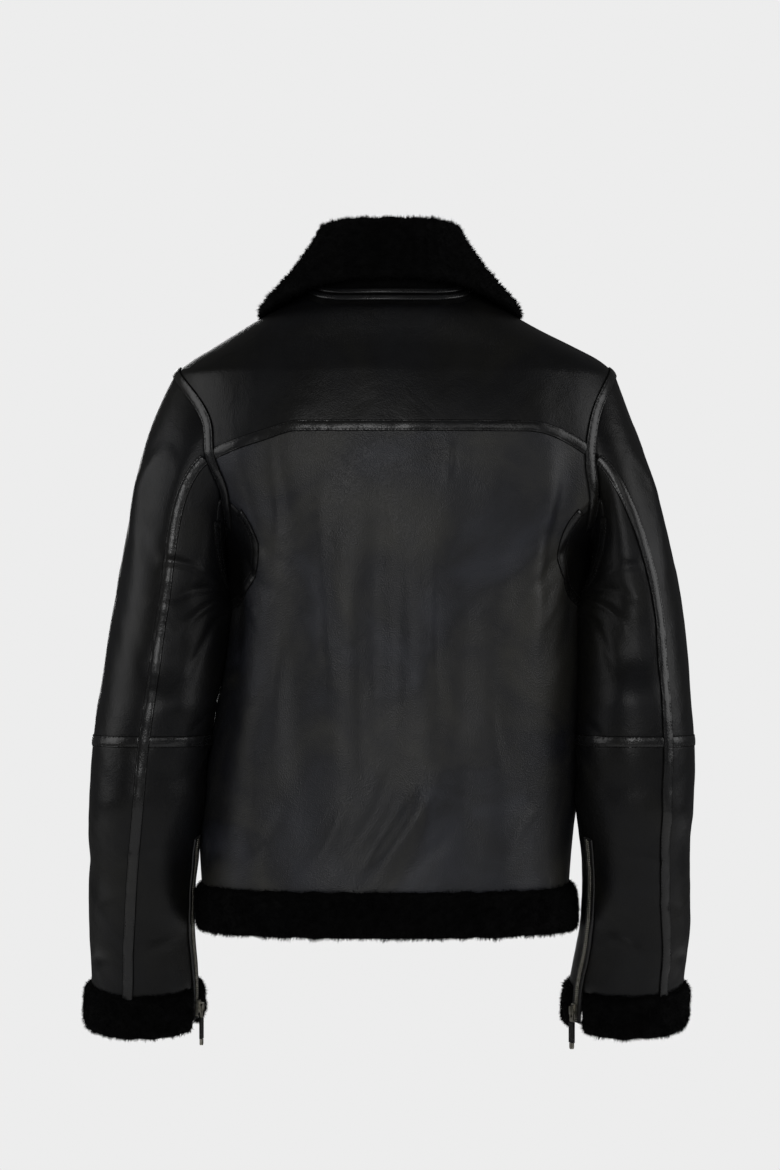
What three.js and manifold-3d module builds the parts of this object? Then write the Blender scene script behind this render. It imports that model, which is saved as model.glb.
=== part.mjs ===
// A shearling jacket in the shape that it takes when worn: leather side out, fur on collar, hem and cuffs.
// Millimetres, +Z up, the front towards -Y, the wearer's left towards +X.
// The origin is between the shoulders, level with the base of the neck, where the wearer holds the jacket up.
import * as THREE from 'three';
import Module from 'manifold-3d';

const wasm = await Module();
wasm.setup();

// Driving dimensions
const WALL = 4; // skin and clipped wool
const SEAM = 0.4; // gap between two pieces sewn edge to edge
const HEM_Z = -613; // lower edge of the leather of the body
const HEM_FUR = 44; // height of the fur hem
const CUFF_FUR = 42; // height of a fur cuff
const FUR_RISE = 7; // how far hem and cuff fur stand out from the leather
const STRAP = { width: 11.5, thick: 1.4, lift: 0.7 }; // leather strap that tapes a seam
const ZIP = { width: 11, thick: 1.5, lift: 0.8 };
const ARMHOLE = { top: -92, bottom: -265, back: 74, front: 70 };
const ARMHOLE_STEPS = 28; // points round an armhole, shared by all pieces that meet there
const YOKE_Z = -147; // yoke seam at the centre of the back
const GUSSET_STEP = 2; // steps behind the armhole's middle to the gusset's tip
const GUSSET_Z = -330; // lowest point of the gusset on the body
const NECK = { back: -22, front: -80 };
const NECK_LEVEL = 7; // keeps the neck seam level behind, up to the shoulders
const FRONT_HALF = 7.6; // half of the opening that the front zip closes
const ELBOW_Z = -463;
const SLEEVE_TOP_Z = -342; // first level ring of a sleeve
const SLEEVE_END_Z = -718;

const SLEEVE_DROP = SLEEVE_TOP_Z - SLEEVE_END_Z;
const ELBOW_ALONG = 1 + (SLEEVE_TOP_Z - ELBOW_Z) / SLEEVE_DROP;
const TIP_CUT = 0.5; // share of a step by which the gusset's pointed ends are cut short
const ARMHOLE_STRAP = { stop: 108, inward: 7, rise: 5 };
const GUSSET_GAP = 1.3;
const GUSSET_THICK = 2.5;
const SLEEVE_GAP = 0.8;
const SLEEVE_STRAP = { ...STRAP, lift: 1.5 };
const SLEEVE_STRAP_ENDS = [0.1, 1.985];
const ELBOW_STRAP = { ...STRAP, lift: 1.1 };
const GUSSET_STRAP = { width: 11.5, thick: 1, lift: 1.2 };
const GUSSET_SLEEVE_STRAP = { ...GUSSET_STRAP, lift: 1.8 };
const ARMHOLE_SECTION = { ...STRAP, lift: 1.3 };
const YOKE_STRAP_STOP = 4.8; // degrees short of the armhole
const GUSSET_STRAP_STOP = 0.86; // share of the way to the gusset's tips
const SLEEVE_STRAP_STOP = 0.86;
const ELBOW_STRAP_STOP = 6.9; // degrees from the sleeve's seam
const BAND_END = 165;
const LOW_ROWS = 8;
const BACK_COLUMNS = 22;
const FRONT_COLUMNS = 11;

const LEFT = 1;
const RIGHT = -1;
const SIDES = { left: LEFT, right: RIGHT };

// Half-widths to the wearer's left and right and depths behind and in front, by height
const BODY = table(['z', 'left', 'right', 'back', 'front', 'square'], [
  [-670, 193, 187, 127, 115, 2.5],
  [-613, 193, 184, 126, 114, 2.5],
  [-570, 195, 187, 123, 114, 2.45],
  [-527, 193, 192, 120, 114, 2.4],
  [-471, 187, 195, 118, 115, 2.4],
  [-424, 178, 195, 117, 116, 2.35],
  [-342, 163, 193, 121, 117, 2.3],
  [-300, 162, 193, 123, 117, 2.3],
  [-265, 166, 201, 124, 116, 2.3],
  [-217, 192, 238, 124, 113, 2.3],
  [-177, 220, 246, 123, 108, 2.3],
  [-140, 219, 244, 120, 99, 2.25],
  [-92, 222, 232, 111, 80, 2.15],
  [-76, 204, 216, 106, 73, 2.1],
  [-62, 181, 190, 101, 67, 2.1],
  [-43, 151, 152, 92, 58, 2.05],
  [-20, 112, 112, 79.5, 48, 2],
  [0, 78, 78, 68, 40, 2],
  [12, 60, 60, 60, 36, 2],
]);

// Rings of each sleeve below the shoulder: centre, half-width, half-depth and how much lower the back lies
const SLEEVE = {
  left: table(['z', 'out', 'half', 'y', 'deep', 'tilt'], [
    [-775, 256, 56, -28, 60, 0.15],
    [-718, 254, 55, -22, 60, 0.15],
    [-661, 256, 54, -8, 60, 0.1],
    [-599, 254.6, 54.6, 14, 61, 0.05],
    [-527, 248.4, 57.6, 42, 61, 0],
    [-471, 243.6, 58.4, 46, 62, 0],
    [-424, 236, 60.6, 42, 65, 0],
    [-342, 224.4, 60.6, 22, 70, 0],
  ]),
  right: table(['z', 'out', 'half', 'y', 'deep', 'tilt'], [
    [-775, 243, 59, -28, 60, 0.15],
    [-718, 245, 59, -22, 60, 0.15],
    [-661, 252, 57, -8, 60, 0.1],
    [-599, 252.4, 55.4, 14, 61, 0.05],
    [-527, 249.6, 59.4, 40, 61, 0],
    [-471, 251.1, 58, 46, 62, 0],
    [-424, 249.2, 57, 42, 65, 0],
    [-342, 247.4, 53.6, 22, 70, 0],
  ]),
};

// How far out each sleeve sets off from top, middle and bottom of its armhole, and its slope at the first ring
const SLEEVE_HEAD = {
  left: { top: 0.5, middle: 0.6, bottom: 0.14, flare: 0.17 },
  right: { top: 0.33, middle: 0.5, bottom: 0.17, flare: 0.1 },
};

// Angle of each sleeve's seam, 90 at the back and 0 at the outside, by height
const SLEEVE_SEAM = {
  left: table(['along', 'angle'], [
    [0, 90], [0.35, 87], [1, 85], [1.4, 87], [1.7, 84], [2, 76], [2.15, 74],
  ]),
  right: table(['along', 'angle'], [
    [0, 90], [0.35, 80], [0.8, 66], [1.3, 62], [1.7, 63], [2, 54], [2.15, 53],
  ]),
};

// The yoke seam drops towards each armhole from this angle on
const YOKE_DROP = { left: { from: 40, power: 1.3 }, right: { from: 52, power: 2 } };

// The gusset's edge on the body: angles of the two middle points of its curve
const GUSSET = { left: { low: 60, high: 50 }, right: { low: 70, high: 62 } };
const HEAD_FORWARD = 0.17; // how far each sleeve sets off backwards or forwards from its armhole
const GUSSET_ALONG = 0.6; // how far down the sleeve's head the gusset reaches
const GUSSET_REACH = 0.96; // share of that which the gusset itself fills, short of the sleeve's edge
const GUSSET_POINTS = 7; // across the gusset, with the fold in the middle

// Collar: the roll is the top of its fold and the edge is the bottom of its fall, by angle from the back
const COLLAR = table(['angle', 'roll', 'rollZ', 'edge', 'edgeZ'], [
  [0, 66, 60, 98, -4],
  [30, 66, 60, 104, -6],
  [60, 63, 59, 117, -13],
  [90, 62, 57, 132, -25],
  [120, 62, 36, 114, -42],
  [150, 66, -2, 110, -104],
  [172, 74, -36, 107, -130],
]);
const COLLAR_END = 172;
const COLLAR_FOLD = 7; // half the distance between stand and fall at the roll
const STAND_HALF = 3.2; // half thickness of the stand
const NECK_GAP = 0.2; // between the stand and the panels' edge
const NECK_RISE = 0.6;
const FALL_HALF = 6; // half thickness of the fall with its fur
const COLLAR_BANDS = { lower: 1.2, upper: 8.4, height: 5.6, thick: 1.5, lift: 0.8 };

// Largest folds of the body: angle and height of the middle, half sizes, lean in degrees a millimetre, rise
const BODY_FOLDS = named(['angle', 'z', 'wide', 'tall', 'lean', 'rise'], [
  [50, -215, 4, 45, 0, -4.5],
  [56, -225, 4, 50, 0, 2.5],
  [-63, -215, 3.2, 42, 0, -4.5],
  [-57, -280, 3.5, 90, 0.01, 3.5],
  [74, -300, 9, 34, 0, -3],
  [-78, -300, 8, 34, 0, -3],
  [22, -390, 9, 130, -0.01, 3],
  [6, -330, 7, 110, 0, -3],
  [-14, -410, 9, 140, 0.02, 3],
  [-33, -380, 8, 130, 0, -3.5],
  [42, -440, 9, 120, 0.02, -3],
  [58, -500, 8, 90, 0, 3],
  [-10, -545, 6, 60, -0.3, 4],
  [6, -562, 6, 50, -0.25, -3],
  [-45, -540, 8, 70, 0, 3],
  [118, -330, 8, 90, 0.05, -4],
  [140, -430, 9, 140, 0, 3.5],
  [160, -300, 7, 120, -0.03, -3],
  [-122, -340, 8, 90, -0.05, -4],
  [-143, -450, 9, 130, 0, 3.5],
  [-162, -290, 7, 110, 0.03, -3],
]);

// Largest folds of the sleeves: angle, place along (0 armhole, 1 first ring, 2 cuff), half sizes, lean, rise
const SLEEVE_FOLDS = {
  left: named(['angle', 'along', 'wide', 'long', 'lean', 'rise'], [
    [35, 0.55, 14, 0.25, 40, 3.5],
    [125, 0.75, 16, 0.16, -60, -4],
    [100, 1.12, 30, 0.05, 0, -3],
    [110, 1.22, 34, 0.05, 0, 3],
    [120, 1.42, 34, 0.05, 0, -3.5],
    [60, 1.5, 30, 0.05, 0, 3],
    [20, 1.65, 26, 0.06, 0, -2.5],
    [260, 1.25, 30, 0.05, 0, -4],
    [260, 1.36, 30, 0.05, 0, 4],
    [250, 0.7, 20, 0.2, 40, -4],
    [110, 1.82, 40, 0.05, 0, -2.5],
  ]),
  right: named(['angle', 'along', 'wide', 'long', 'lean', 'rise'], [
    [30, 0.5, 14, 0.25, 40, 3.5],
    [120, 0.8, 16, 0.16, -60, -4],
    [95, 1.1, 30, 0.05, 0, -3],
    [100, 1.2, 34, 0.05, 0, 3],
    [115, 1.44, 34, 0.05, 0, -3.5],
    [50, 1.52, 30, 0.05, 0, 3],
    [20, 1.6, 26, 0.06, 0, -2.5],
    [262, 1.24, 30, 0.05, 0, -4],
    [258, 1.37, 30, 0.05, 0, 4],
    [245, 0.7, 20, 0.2, 40, -4],
    [100, 1.8, 40, 0.05, 0, -2.5],
  ]),
};

// Cuff zips: angle on the sleeve, top and bottom
const CUFF_ZIP = { left: { angle: 164 }, right: { angle: 150 } };
const CUFF_ZIP_TOP_Z = -561;
const CUFF_ZIP_END = 33; // how far the zip runs on below the leather
const CUFF_HINGE_DROP = 20; // the pull's hinge below the leather's edge
const CUFF_SLIT = 9.5; // half of the slit in the fur that the zip runs down
const FRONT_HINGE_Z = -104;
const FRONT_ZIP = { top: -84, bottom: -655, thick: 2.4, sunk: 2 };
const CUFF_SLIDER_OUT = 2.6; // from the sleeve's surface to the back of the slider's plate
const FRONT_SLIDER_OUT = 1;

// Slider and pull, in the slider's own frame: along the zip, across it, and out from it
const SLIDER = {
  half: 6.5, wide: 8.4, plate: 2.4, bridge: 3, windowHalf: 2.8, windowLow: 3.1, windowHigh: 5.7, high: 7,
};
const HINGE_OUT = 4.4;
const PULL = { wide: 7, inner: 4.4, bar: 0.6, thick: 1.2, length: 12, window: 7.5 };
const TAB = { wide: 8.6, thick: 2.2, length: 21 };
const TAB_END = { wide: 5.4, thick: 2.6, length: 6.4 };

// Colours
const MATERIALS = {
  leather: { color: 0x17181b, roughness: 0.42, metalness: 0 },
  strap: { color: 0x141518, roughness: 0.38, metalness: 0 },
  fur: { color: 0x08080a, roughness: 0.95, metalness: 0 },
  tape: { color: 0x1a1a1a, roughness: 0.8, metalness: 0 },
  metal: { color: 0x8f8d84, roughness: 0.35, metalness: 1 },
};

// Numbers under named columns, read at any key by a smooth curve through the rows; past its ends it holds
function table(names, rows) {
  const slope = (i, c) => {
    const before = rows[Math.max(i - 1, 0)];
    const after = rows[Math.min(i + 1, rows.length - 1)];
    return (after[c] - before[c]) / (after[0] - before[0]);
  };
  return (key) => {
    const k = Math.min(Math.max(key, rows[0][0]), rows[rows.length - 1][0]);
    let i = 0;
    while (i < rows.length - 2 && k > rows[i + 1][0]) i += 1;
    const span = rows[i + 1][0] - rows[i][0];
    const f = (k - rows[i][0]) / span;
    const values = names.map((_, c) => {
      const [a, b] = [rows[i][c], rows[i + 1][c]];
      const [ma, mb] = [slope(i, c) * span, slope(i + 1, c) * span];
      return hermite(a, ma, b, mb, f);
    });
    return Object.fromEntries(names.map((name, c) => [name, values[c]]));
  };
}

// Rows as objects with named fields
function named(names, rows) {
  return rows.map((row) => Object.fromEntries(names.map((name, c) => [name, row[c]])));
}

function hermite(a, slopeA, b, slopeB, f) {
  const g = f * f;
  const h = g * f;
  return (2 * h - 3 * g + 1) * a + (h - 2 * g + f) * slopeA + (3 * g - 2 * h) * b + (h - g) * slopeB;
}

function rad(degrees) {
  return degrees * Math.PI / 180;
}

function mix(a, b, f) {
  return a + (b - a) * f;
}

function steps(count) {
  return Array.from({ length: count + 1 }, (_, i) => i / count);
}

// How much the folds near a place lift the surface: a bell curve for each
function folds(list, across, along, alongName, tallName) {
  return list.reduce((sum, fold) => {
    const down = along - fold[alongName];
    const turned = ((across - fold.angle - fold.lean * down + 540) % 360) - 180;
    return sum + fold.rise * Math.exp(-((turned / fold.wide) ** 2) - (down / fold[tallName]) ** 2);
  }, 0);
}

// Outer surface of the body: a rounded oval at each height, with the folds on it.
// angle is 0 at the centre of the back, 90 at the wearer's left side, 180 at the front and -90 at the right.
function body(angle, z) {
  const row = BODY(z);
  const s = Math.sin(rad(angle));
  const c = Math.cos(rad(angle));
  const half = s >= 0 ? row.left : row.right;
  const deep = c >= 0 ? row.back : row.front;
  const n = row.square;
  const r = (Math.abs(s / half) ** n + Math.abs(c / deep) ** n) ** (-1 / n);
  const rise = folds(BODY_FOLDS, angle, z, 'z', 'tall');
  return new THREE.Vector3((r + rise) * s, (r + rise) * c, z);
}

// Angle at which the body at a height reaches a given depth, on the wearer's left or right
function bodyAngle(side, y, z) {
  const row = BODY(z);
  const half = side === LEFT ? row.left : row.right;
  const deep = y >= 0 ? row.back : row.front;
  const x = half * (1 - Math.abs(y / deep) ** row.square) ** (1 / row.square);
  return Math.atan2(x, y) * 180 / Math.PI;
}

// Armhole: an oval seen from the side. Its top is 0, its back 90, the armpit 180 and its front 270.
function armholePlace(side, turn) {
  const middle = (ARMHOLE.top + ARMHOLE.bottom) / 2;
  const half = (ARMHOLE.top - ARMHOLE.bottom) / 2;
  const s = Math.sin(rad(turn));
  const z = middle + half * Math.cos(rad(turn));
  const y = (s >= 0 ? ARMHOLE.back : ARMHOLE.front) * s;
  return { angle: bodyAngle(side, y, z), z };
}

function sideName(side) {
  return side === LEFT ? 'left' : 'right';
}

function armholePoint(side, turn) {
  const place = armholePlace(side, turn);
  return body(side * place.angle, place.z);
}

// Level ring of a sleeve: turn is 0 at the outside, 90 at the back, 180 next to the body and 270 at the front
function sleeveRing(side, turn, z) {
  const row = SLEEVE[sideName(side)](z);
  const s = Math.sin(rad(turn));
  const x = row.out + row.half * Math.cos(rad(turn));
  return new THREE.Vector3(side * x, row.y + row.deep * s, z - row.tilt * row.deep * s);
}

// Outer surface of a sleeve without its folds. along is 0 at the armhole, 1 at the first level ring and 2 at
// the cuff's seam; above the first ring each line sets off from the armhole and bends down to that ring.
function plainSleeve(side, turn, along) {
  if (along >= 1) return sleeveRing(side, turn, mix(SLEEVE_TOP_Z, SLEEVE_END_Z, along - 1));
  const head = SLEEVE_HEAD[sideName(side)];
  const from = armholePoint(side, turn);
  const to = sleeveRing(side, turn, SLEEVE_TOP_Z);
  const reach = from.distanceTo(to);
  const c = Math.cos(rad(turn));
  const ends = (head.top + head.bottom) / 2;
  const out = head.middle + (head.top - head.bottom) / 2 * c + (ends - head.middle) * c * c;
  const start = new THREE.Vector3(side * out, HEAD_FORWARD * Math.sin(rad(turn)), -0.6 - 0.3 * c * c);
  start.multiplyScalar(reach);
  const end = new THREE.Vector3(side * head.flare, 0, -1).multiplyScalar(reach);
  return new THREE.Vector3(...['x', 'y', 'z'].map((a) => hermite(from[a], start[a], to[a], end[a], along)));
}

function sleeve(side, turn, along) {
  const point = plainSleeve(side, turn, along);
  const rise = folds(SLEEVE_FOLDS[sideName(side)], turn, along, 'along', 'long') * Math.min(1, along * 4);
  if (Math.abs(rise) < 0.001) return point;
  const { out, y } = SLEEVE[sideName(side)](point.z);
  const away = new THREE.Vector3(point.x - side * out, point.y - y, 0).normalize();
  return point.add(away.multiplyScalar(rise));
}

// Small steps for slopes: degrees, millimetres, and share of a sleeve
const TURN_STEP = 0.2;
const HEIGHT_STEP = 0.5;
const ALONG_STEP = 0.004;
const SEAM_ALONG = 0.02; // where the sleeve's slope at the armhole is read

// Slopes and outward normal of a surface of two parameters
function frameAt(surface, u, v, du, dv, sign) {
  const point = surface(u, v);
  const alongU = surface(u + du, v).sub(surface(u - du, v)).divideScalar(2 * du);
  const alongV = surface(u, v + dv).sub(surface(u, v - dv)).divideScalar(2 * dv);
  const normal = alongU.clone().cross(alongV).multiplyScalar(sign).normalize();
  return { point, alongU, alongV, normal };
}

function bodyFrame(angle, z) {
  return frameAt(body, angle, z, TURN_STEP, HEIGHT_STEP, -1);
}

function sleeveFrame(side, turn, along) {
  const v = Math.max(along, ALONG_STEP);
  const frame = frameAt((a, b) => sleeve(side, a, b), turn, v, 2 * TURN_STEP, ALONG_STEP, -side);
  return { ...frame, point: sleeve(side, turn, along) };
}

// A place on a wall is its outer point and the inner point below it
function bodyPlace(angle, z) {
  const frame = bodyFrame(angle, z);
  return { outer: frame.point, inner: frame.point.clone().addScaledVector(frame.normal, -WALL) };
}

function sleevePlace(side, turn, along) {
  const frame = sleeveFrame(side, turn, along);
  return { outer: frame.point, inner: frame.point.clone().addScaledVector(frame.normal, -WALL) };
}

// Where body and sleeve meet, both walls share the line halfway between their normals
function armholeSeam(side, turn) {
  const place = armholePlace(side, turn);
  const onBody = bodyFrame(side * place.angle, place.z);
  const onSleeve = sleeveFrame(side, turn, SEAM_ALONG);
  const out = onBody.normal.clone().add(onSleeve.normal).normalize();
  return { outer: onBody.point, inner: onBody.point.clone().addScaledVector(out, -WALL) };
}

// Closed solid from rings of points of the same count, with flat fans or given triangles as its ends
function sweep(rings, { caps = null } = {}) {
  const count = rings[0].length;
  const positions = rings.flat().flatMap((p) => [p.x, p.y, p.z]);
  const index = [];
  for (let k = 0; k < rings.length - 1; k += 1) {
    for (let j = 0; j < count; j += 1) {
      const [a, b] = [k * count + j, k * count + (j + 1) % count];
      index.push(a, b, b + count, a, b + count, a + count);
    }
  }
  const cap = caps ?? Array.from({ length: count - 2 }, (_, i) => [0, i + 1, i + 2]);
  const last = (rings.length - 1) * count;
  cap.forEach(([a, b, c]) => index.push(a, c, b, last + a, last + b, last + c));
  return facingOut(positions, index);
}

// Triangles that fill a flat outline, wound the same way round as the outline itself
function capTriangles(flat) {
  const turning = Math.sign(THREE.ShapeUtils.area(flat));
  return THREE.ShapeUtils.triangulateShape(flat, []).map(([a, b, c]) => (
    Math.sign(THREE.ShapeUtils.area([flat[a], flat[b], flat[c]])) === turning ? [a, b, c] : [a, c, b]));
}

function facingOut(positions, index) {
  const at = (i) => new THREE.Vector3(positions[3 * i], positions[3 * i + 1], positions[3 * i + 2]);
  let volume = 0;
  for (let i = 0; i < index.length; i += 3) {
    const [a, b, c] = [at(index[i]), at(index[i + 1]), at(index[i + 2])];
    volume += a.dot(b.clone().cross(c));
  }
  if (volume < 0) {
    for (let i = 0; i < index.length; i += 3) [index[i], index[i + 1]] = [index[i + 1], index[i]];
  }
  const geometry = new THREE.BufferGeometry();
  geometry.setAttribute('position', new THREE.Float32BufferAttribute(positions, 3));
  geometry.setIndex(index);
  return geometry;
}

// Moves the places of one edge of a grid towards the inside, square to the edge: sewn pieces keep a gap
function trim(edge, next, gap) {
  return edge.map((place, i) => {
    const before = edge[Math.max(i - 1, 0)].outer;
    const after = edge[Math.min(i + 1, edge.length - 1)].outer;
    const tangent = after.clone().sub(before).normalize();
    const shift = next[i].outer.clone().sub(place.outer);
    shift.addScaledVector(tangent, -shift.dot(tangent)).setLength(gap);
    return { outer: place.outer.clone().add(shift), inner: place.inner.clone().add(shift) };
  });
}

function trimmed(grid, gap) {
  const rows = [...grid];
  rows[0] = trim(grid[0], grid[1], gap);
  rows[rows.length - 1] = trim(grid[grid.length - 1], grid[grid.length - 2], gap);
  const columns = rows[0].map((_, j) => rows.map((row) => row[j]));
  const last = columns.length - 1;
  const first = trim(columns[0], columns[1], gap);
  const end = trim(columns[last], columns[last - 1], gap);
  return rows.map((row, i) => [first[i], ...row.slice(1, -1), end[i]]);
}

// Wall between the outer and inner points of a grid of places
function wall(grid, gap = SEAM / 2) {
  const rings = trimmed(grid, gap).map((row) => [
    ...row.map((place) => place.outer),
    ...row.map((place) => place.inner).reverse(),
  ]);
  const wide = grid[0].length;
  const caps = Array.from({ length: wide - 1 }, (_, j) => {
    const [a, b, c, d] = [j, j + 1, 2 * wide - 2 - j, 2 * wide - 1 - j];
    return [[a, b, c], [a, c, d]];
  }).flat();
  return sweep(rings, { caps });
}

// Strap on a surface: path is places of two parameters, and its width is laid off along the surface itself
function strap(frame, path, { width, thick, lift }) {
  const frames = path.map(([u, v]) => frame(u, v));
  const rings = path.map(([u, v], i) => {
    const before = frames[Math.max(i - 1, 0)].point;
    const after = frames[Math.min(i + 1, frames.length - 1)].point;
    const { alongU, alongV, normal } = frames[i];
    const side = normal.clone().cross(after.clone().sub(before)).normalize();
    const [uu, vv, uv] = [alongU.dot(alongU), alongV.dot(alongV), alongU.dot(alongV)];
    const [us, vs] = [alongU.dot(side), alongV.dot(side)];
    const det = uu * vv - uv * uv;
    const [du, dv] = [(us * vv - vs * uv) / det, (vs * uu - us * uv) / det];
    const edges = [-width / 2, width / 2].map((offset) => frame(u + du * offset, v + dv * offset));
    return [
      edges[0].point.clone().addScaledVector(edges[0].normal, lift),
      edges[1].point.clone().addScaledVector(edges[1].normal, lift),
      edges[1].point.clone().addScaledVector(edges[1].normal, lift + thick),
      edges[0].point.clone().addScaledVector(edges[0].normal, lift + thick),
    ];
  });
  return sweep(rings);
}

// Body panels

// Height of the yoke seam at an angle
function yokeLine(angle) {
  const side = angle >= 0 ? LEFT : RIGHT;
  const drop = YOKE_DROP[sideName(side)];
  const end = armholePlace(side, 90);
  const f = Math.max(0, (Math.abs(angle) - drop.from) / (end.angle - drop.from));
  return mix(YOKE_Z, end.z, Math.min(1, f) ** drop.power);
}

function neckLine(angle) {
  const c = Math.cos(rad(angle));
  const level = Math.abs(Math.sin(rad(angle))) ** NECK_LEVEL;
  return c >= 0 ? NECK.back * (1 - level) : NECK.front * c * c;
}

function bezier(a, b, c, d, f) {
  const g = 1 - f;
  return g * g * g * a + 3 * g * g * f * b + 3 * g * f * f * c + f * f * f * d;
}

const GUSSET_TURN = 90 + GUSSET_STEP * 360 / ARMHOLE_STEPS; // armhole turn of the gusset's tip
const GUSSET_COLUMNS = ARMHOLE_STEPS / 4 - GUSSET_STEP; // steps from the tip to the armpit

// Edge of the gusset on the body, f from its lowest point to its tip on the armhole; front mirrors back
function gussetEdge(side, f, front) {
  const curve = GUSSET[sideName(side)];
  const tip = armholePlace(side, front ? 360 - GUSSET_TURN : GUSSET_TURN);
  const flip = (angle) => front ? 180 - angle : angle;
  return {
    angle: bezier(90, flip(curve.low), flip(curve.high), tip.angle, f),
    z: bezier(GUSSET_Z, GUSSET_Z, -250, tip.z, f),
  };
}

const SHOULDER = steps(5).slice(1).map((f) => ({ angle: 90, z: mix(ARMHOLE.top, 0, f) }));

// Places up the side edge of a body panel: to the gusset, along it, and round the armhole to a turn
function sideEdge(side, front, stopTurn) {
  const around = (turn) => (front ? 360 - turn : turn);
  const low = steps(LOW_ROWS).slice(0, -1).map((f) => ({ angle: 90, z: mix(HEM_Z, GUSSET_Z, f) }));
  const gusset = steps(GUSSET_COLUMNS).slice(0, -1).map((f) => gussetEdge(side, f, front));
  return [...low, ...gusset, ...armholeEdge(side, around(GUSSET_TURN), around(stopTurn))];
}

function armholeEdge(side, fromTurn, toTurn) {
  const count = Math.round(Math.abs(fromTurn - toTurn) * ARMHOLE_STEPS / 360);
  return steps(count).map((f) => {
    const turn = mix(fromTurn, toTurn, f);
    return { ...armholePlace(side, turn), turn };
  });
}

// Wall place of a panel; on the armhole itself it is the place that body and sleeve share
function panelPlace(side, angle, z, edge, onEdge) {
  return onEdge && edge.turn !== undefined ? armholeSeam(side, edge.turn) : bodyPlace(angle, z);
}

const NEARLY_ALL = 0.999;

// One row of the back or yoke between its two side edges. Near an edge the heights follow that edge, and
// towards the middle they go over to even shares of the way from the bottom line to the top line.
function backRow(k, edges, bottom, top, lastIndex, firstIndex) {
  return steps(BACK_COLUMNS).map((g) => {
    const s = 2 * g - 1;
    const side = s >= 0 ? LEFT : RIGHT;
    const list = edges[sideName(side)];
    const edge = list[k];
    const f = Math.abs(s);
    const angle = side * f * edge.angle;
    const onEdge = f > NEARLY_ALL;
    if (k <= firstIndex) return panelPlace(side, angle, bottom(angle), edge, onEdge);
    const [low, high] = [list[firstIndex], list[lastIndex]];
    const edgeShare = (edge.z - low.z) / (high.z - low.z);
    const rowShare = (k - firstIndex) / (lastIndex - firstIndex);
    const share = mix(rowShare, edgeShare, f ** 3);
    const z = mix(bottom(side * f * low.angle), top(side * f * high.angle), share);
    return panelPlace(side, angle, z, edge, onEdge);
  });
}

function backPanel() {
  const edges = { left: sideEdge(LEFT, false, 90), right: sideEdge(RIGHT, false, 90) };
  const last = edges.left.length - 1;
  const rows = edges.left.map((edge, k) => {
    const level = k <= LOW_ROWS ? () => edge.z : () => GUSSET_Z;
    return backRow(k, edges, level, yokeLine, last, LOW_ROWS);
  });
  return wall(rows);
}

function backYoke() {
  const edges = {
    left: [...armholeEdge(LEFT, 90, 0), ...SHOULDER],
    right: [...armholeEdge(RIGHT, 90, 0), ...SHOULDER],
  };
  const last = edges.left.length - 1;
  return wall(edges.left.map((_, k) => backRow(k, edges, yokeLine, neckLine, last, 0)));
}

// Angle of the front opening's edge at a height
function openingAngle(z) {
  return 180 - Math.asin(FRONT_HALF / BODY(z).front) * 180 / Math.PI;
}

function frontPanel(side) {
  const edges = [...sideEdge(side, true, 0), ...SHOULDER];
  const last = edges.length - 1;
  const rows = edges.map((edge, k) => steps(FRONT_COLUMNS).map((f) => {
    const rowShare = (k - LOW_ROWS) / (last - LOW_ROWS);
    const edgeShare = (edge.z - GUSSET_Z) / (0 - GUSSET_Z);
    const share = mix(edgeShare, rowShare, 1 - (1 - f) ** 3);
    const top = neckLine(mix(90, openingAngle(NECK.front), f));
    const z = k <= LOW_ROWS ? edge.z : mix(GUSSET_Z, top, share);
    return panelPlace(side, side * mix(edge.angle, openingAngle(z), f), z, edge, f < 1 - NEARLY_ALL);
  }));
  return wall(rows);
}

// Sleeves. Column 0 and the last column are the two sides of the sleeve's seam.

function sleeveTurn(side, column, along) {
  return SLEEVE_SEAM[sideName(side)](along).angle + column * 360 / ARMHOLE_STEPS;
}

// How far down the sleeve's head the gusset reaches at a column
function gussetAlong(column) {
  const span = 2 * GUSSET_COLUMNS;
  const f = (column - GUSSET_STEP) / span;
  return f <= 0 || f >= 1 ? 0 : GUSSET_ALONG * Math.sin(Math.PI * f) ** 0.85;
}

function columnPlace(side, column, along) {
  if (along === 0) return armholeSeam(side, 90 + column * 360 / ARMHOLE_STEPS);
  return sleevePlace(side, sleeveTurn(side, column, along), along);
}

function sleeveUpper(side) {
  const columns = steps(ARMHOLE_STEPS).map((f) => f * ARMHOLE_STEPS);
  const head = steps(8).map((f) => columns.map((c) => columnPlace(side, c, mix(gussetAlong(c), 1, f))));
  const arm = steps(4).slice(1).map((f) => columns.map((c) => columnPlace(side, c, mix(1, ELBOW_ALONG, f))));
  return wall([...head, ...arm], SLEEVE_GAP);
}

function sleeveLower(side) {
  const columns = steps(ARMHOLE_STEPS).map((f) => f * ARMHOLE_STEPS);
  return wall(steps(8).map((f) => columns.map((c) => columnPlace(side, c, mix(ELBOW_ALONG, 2, f)))));
}

// Gusset under an arm: folded along the armhole, one half on the body and one half on the sleeve
function gussetColumn(side, column) {
  const turn = 90 + column * 360 / ARMHOLE_STEPS;
  const front = turn > 180;
  const f = Math.abs(turn - 180) / (180 - GUSSET_TURN);
  const seam = armholePlace(side, turn);
  const edge = gussetEdge(side, f, front);
  const fold = armholeSeam(side, turn);
  if (f === 1) return Array.from({ length: GUSSET_POINTS }, () => fold);
  const onBody = [1, 2 / 3, 1 / 3].map((g) => (
    bodyPlace(side * mix(seam.angle, edge.angle, g), mix(seam.z, edge.z, g))));
  const reach = gussetAlong(column);
  const onSleeve = [1 / 3, 2 / 3, GUSSET_REACH].map((g) => columnPlace(side, column, reach * g));
  return [...onBody, fold, ...onSleeve];
}

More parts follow.
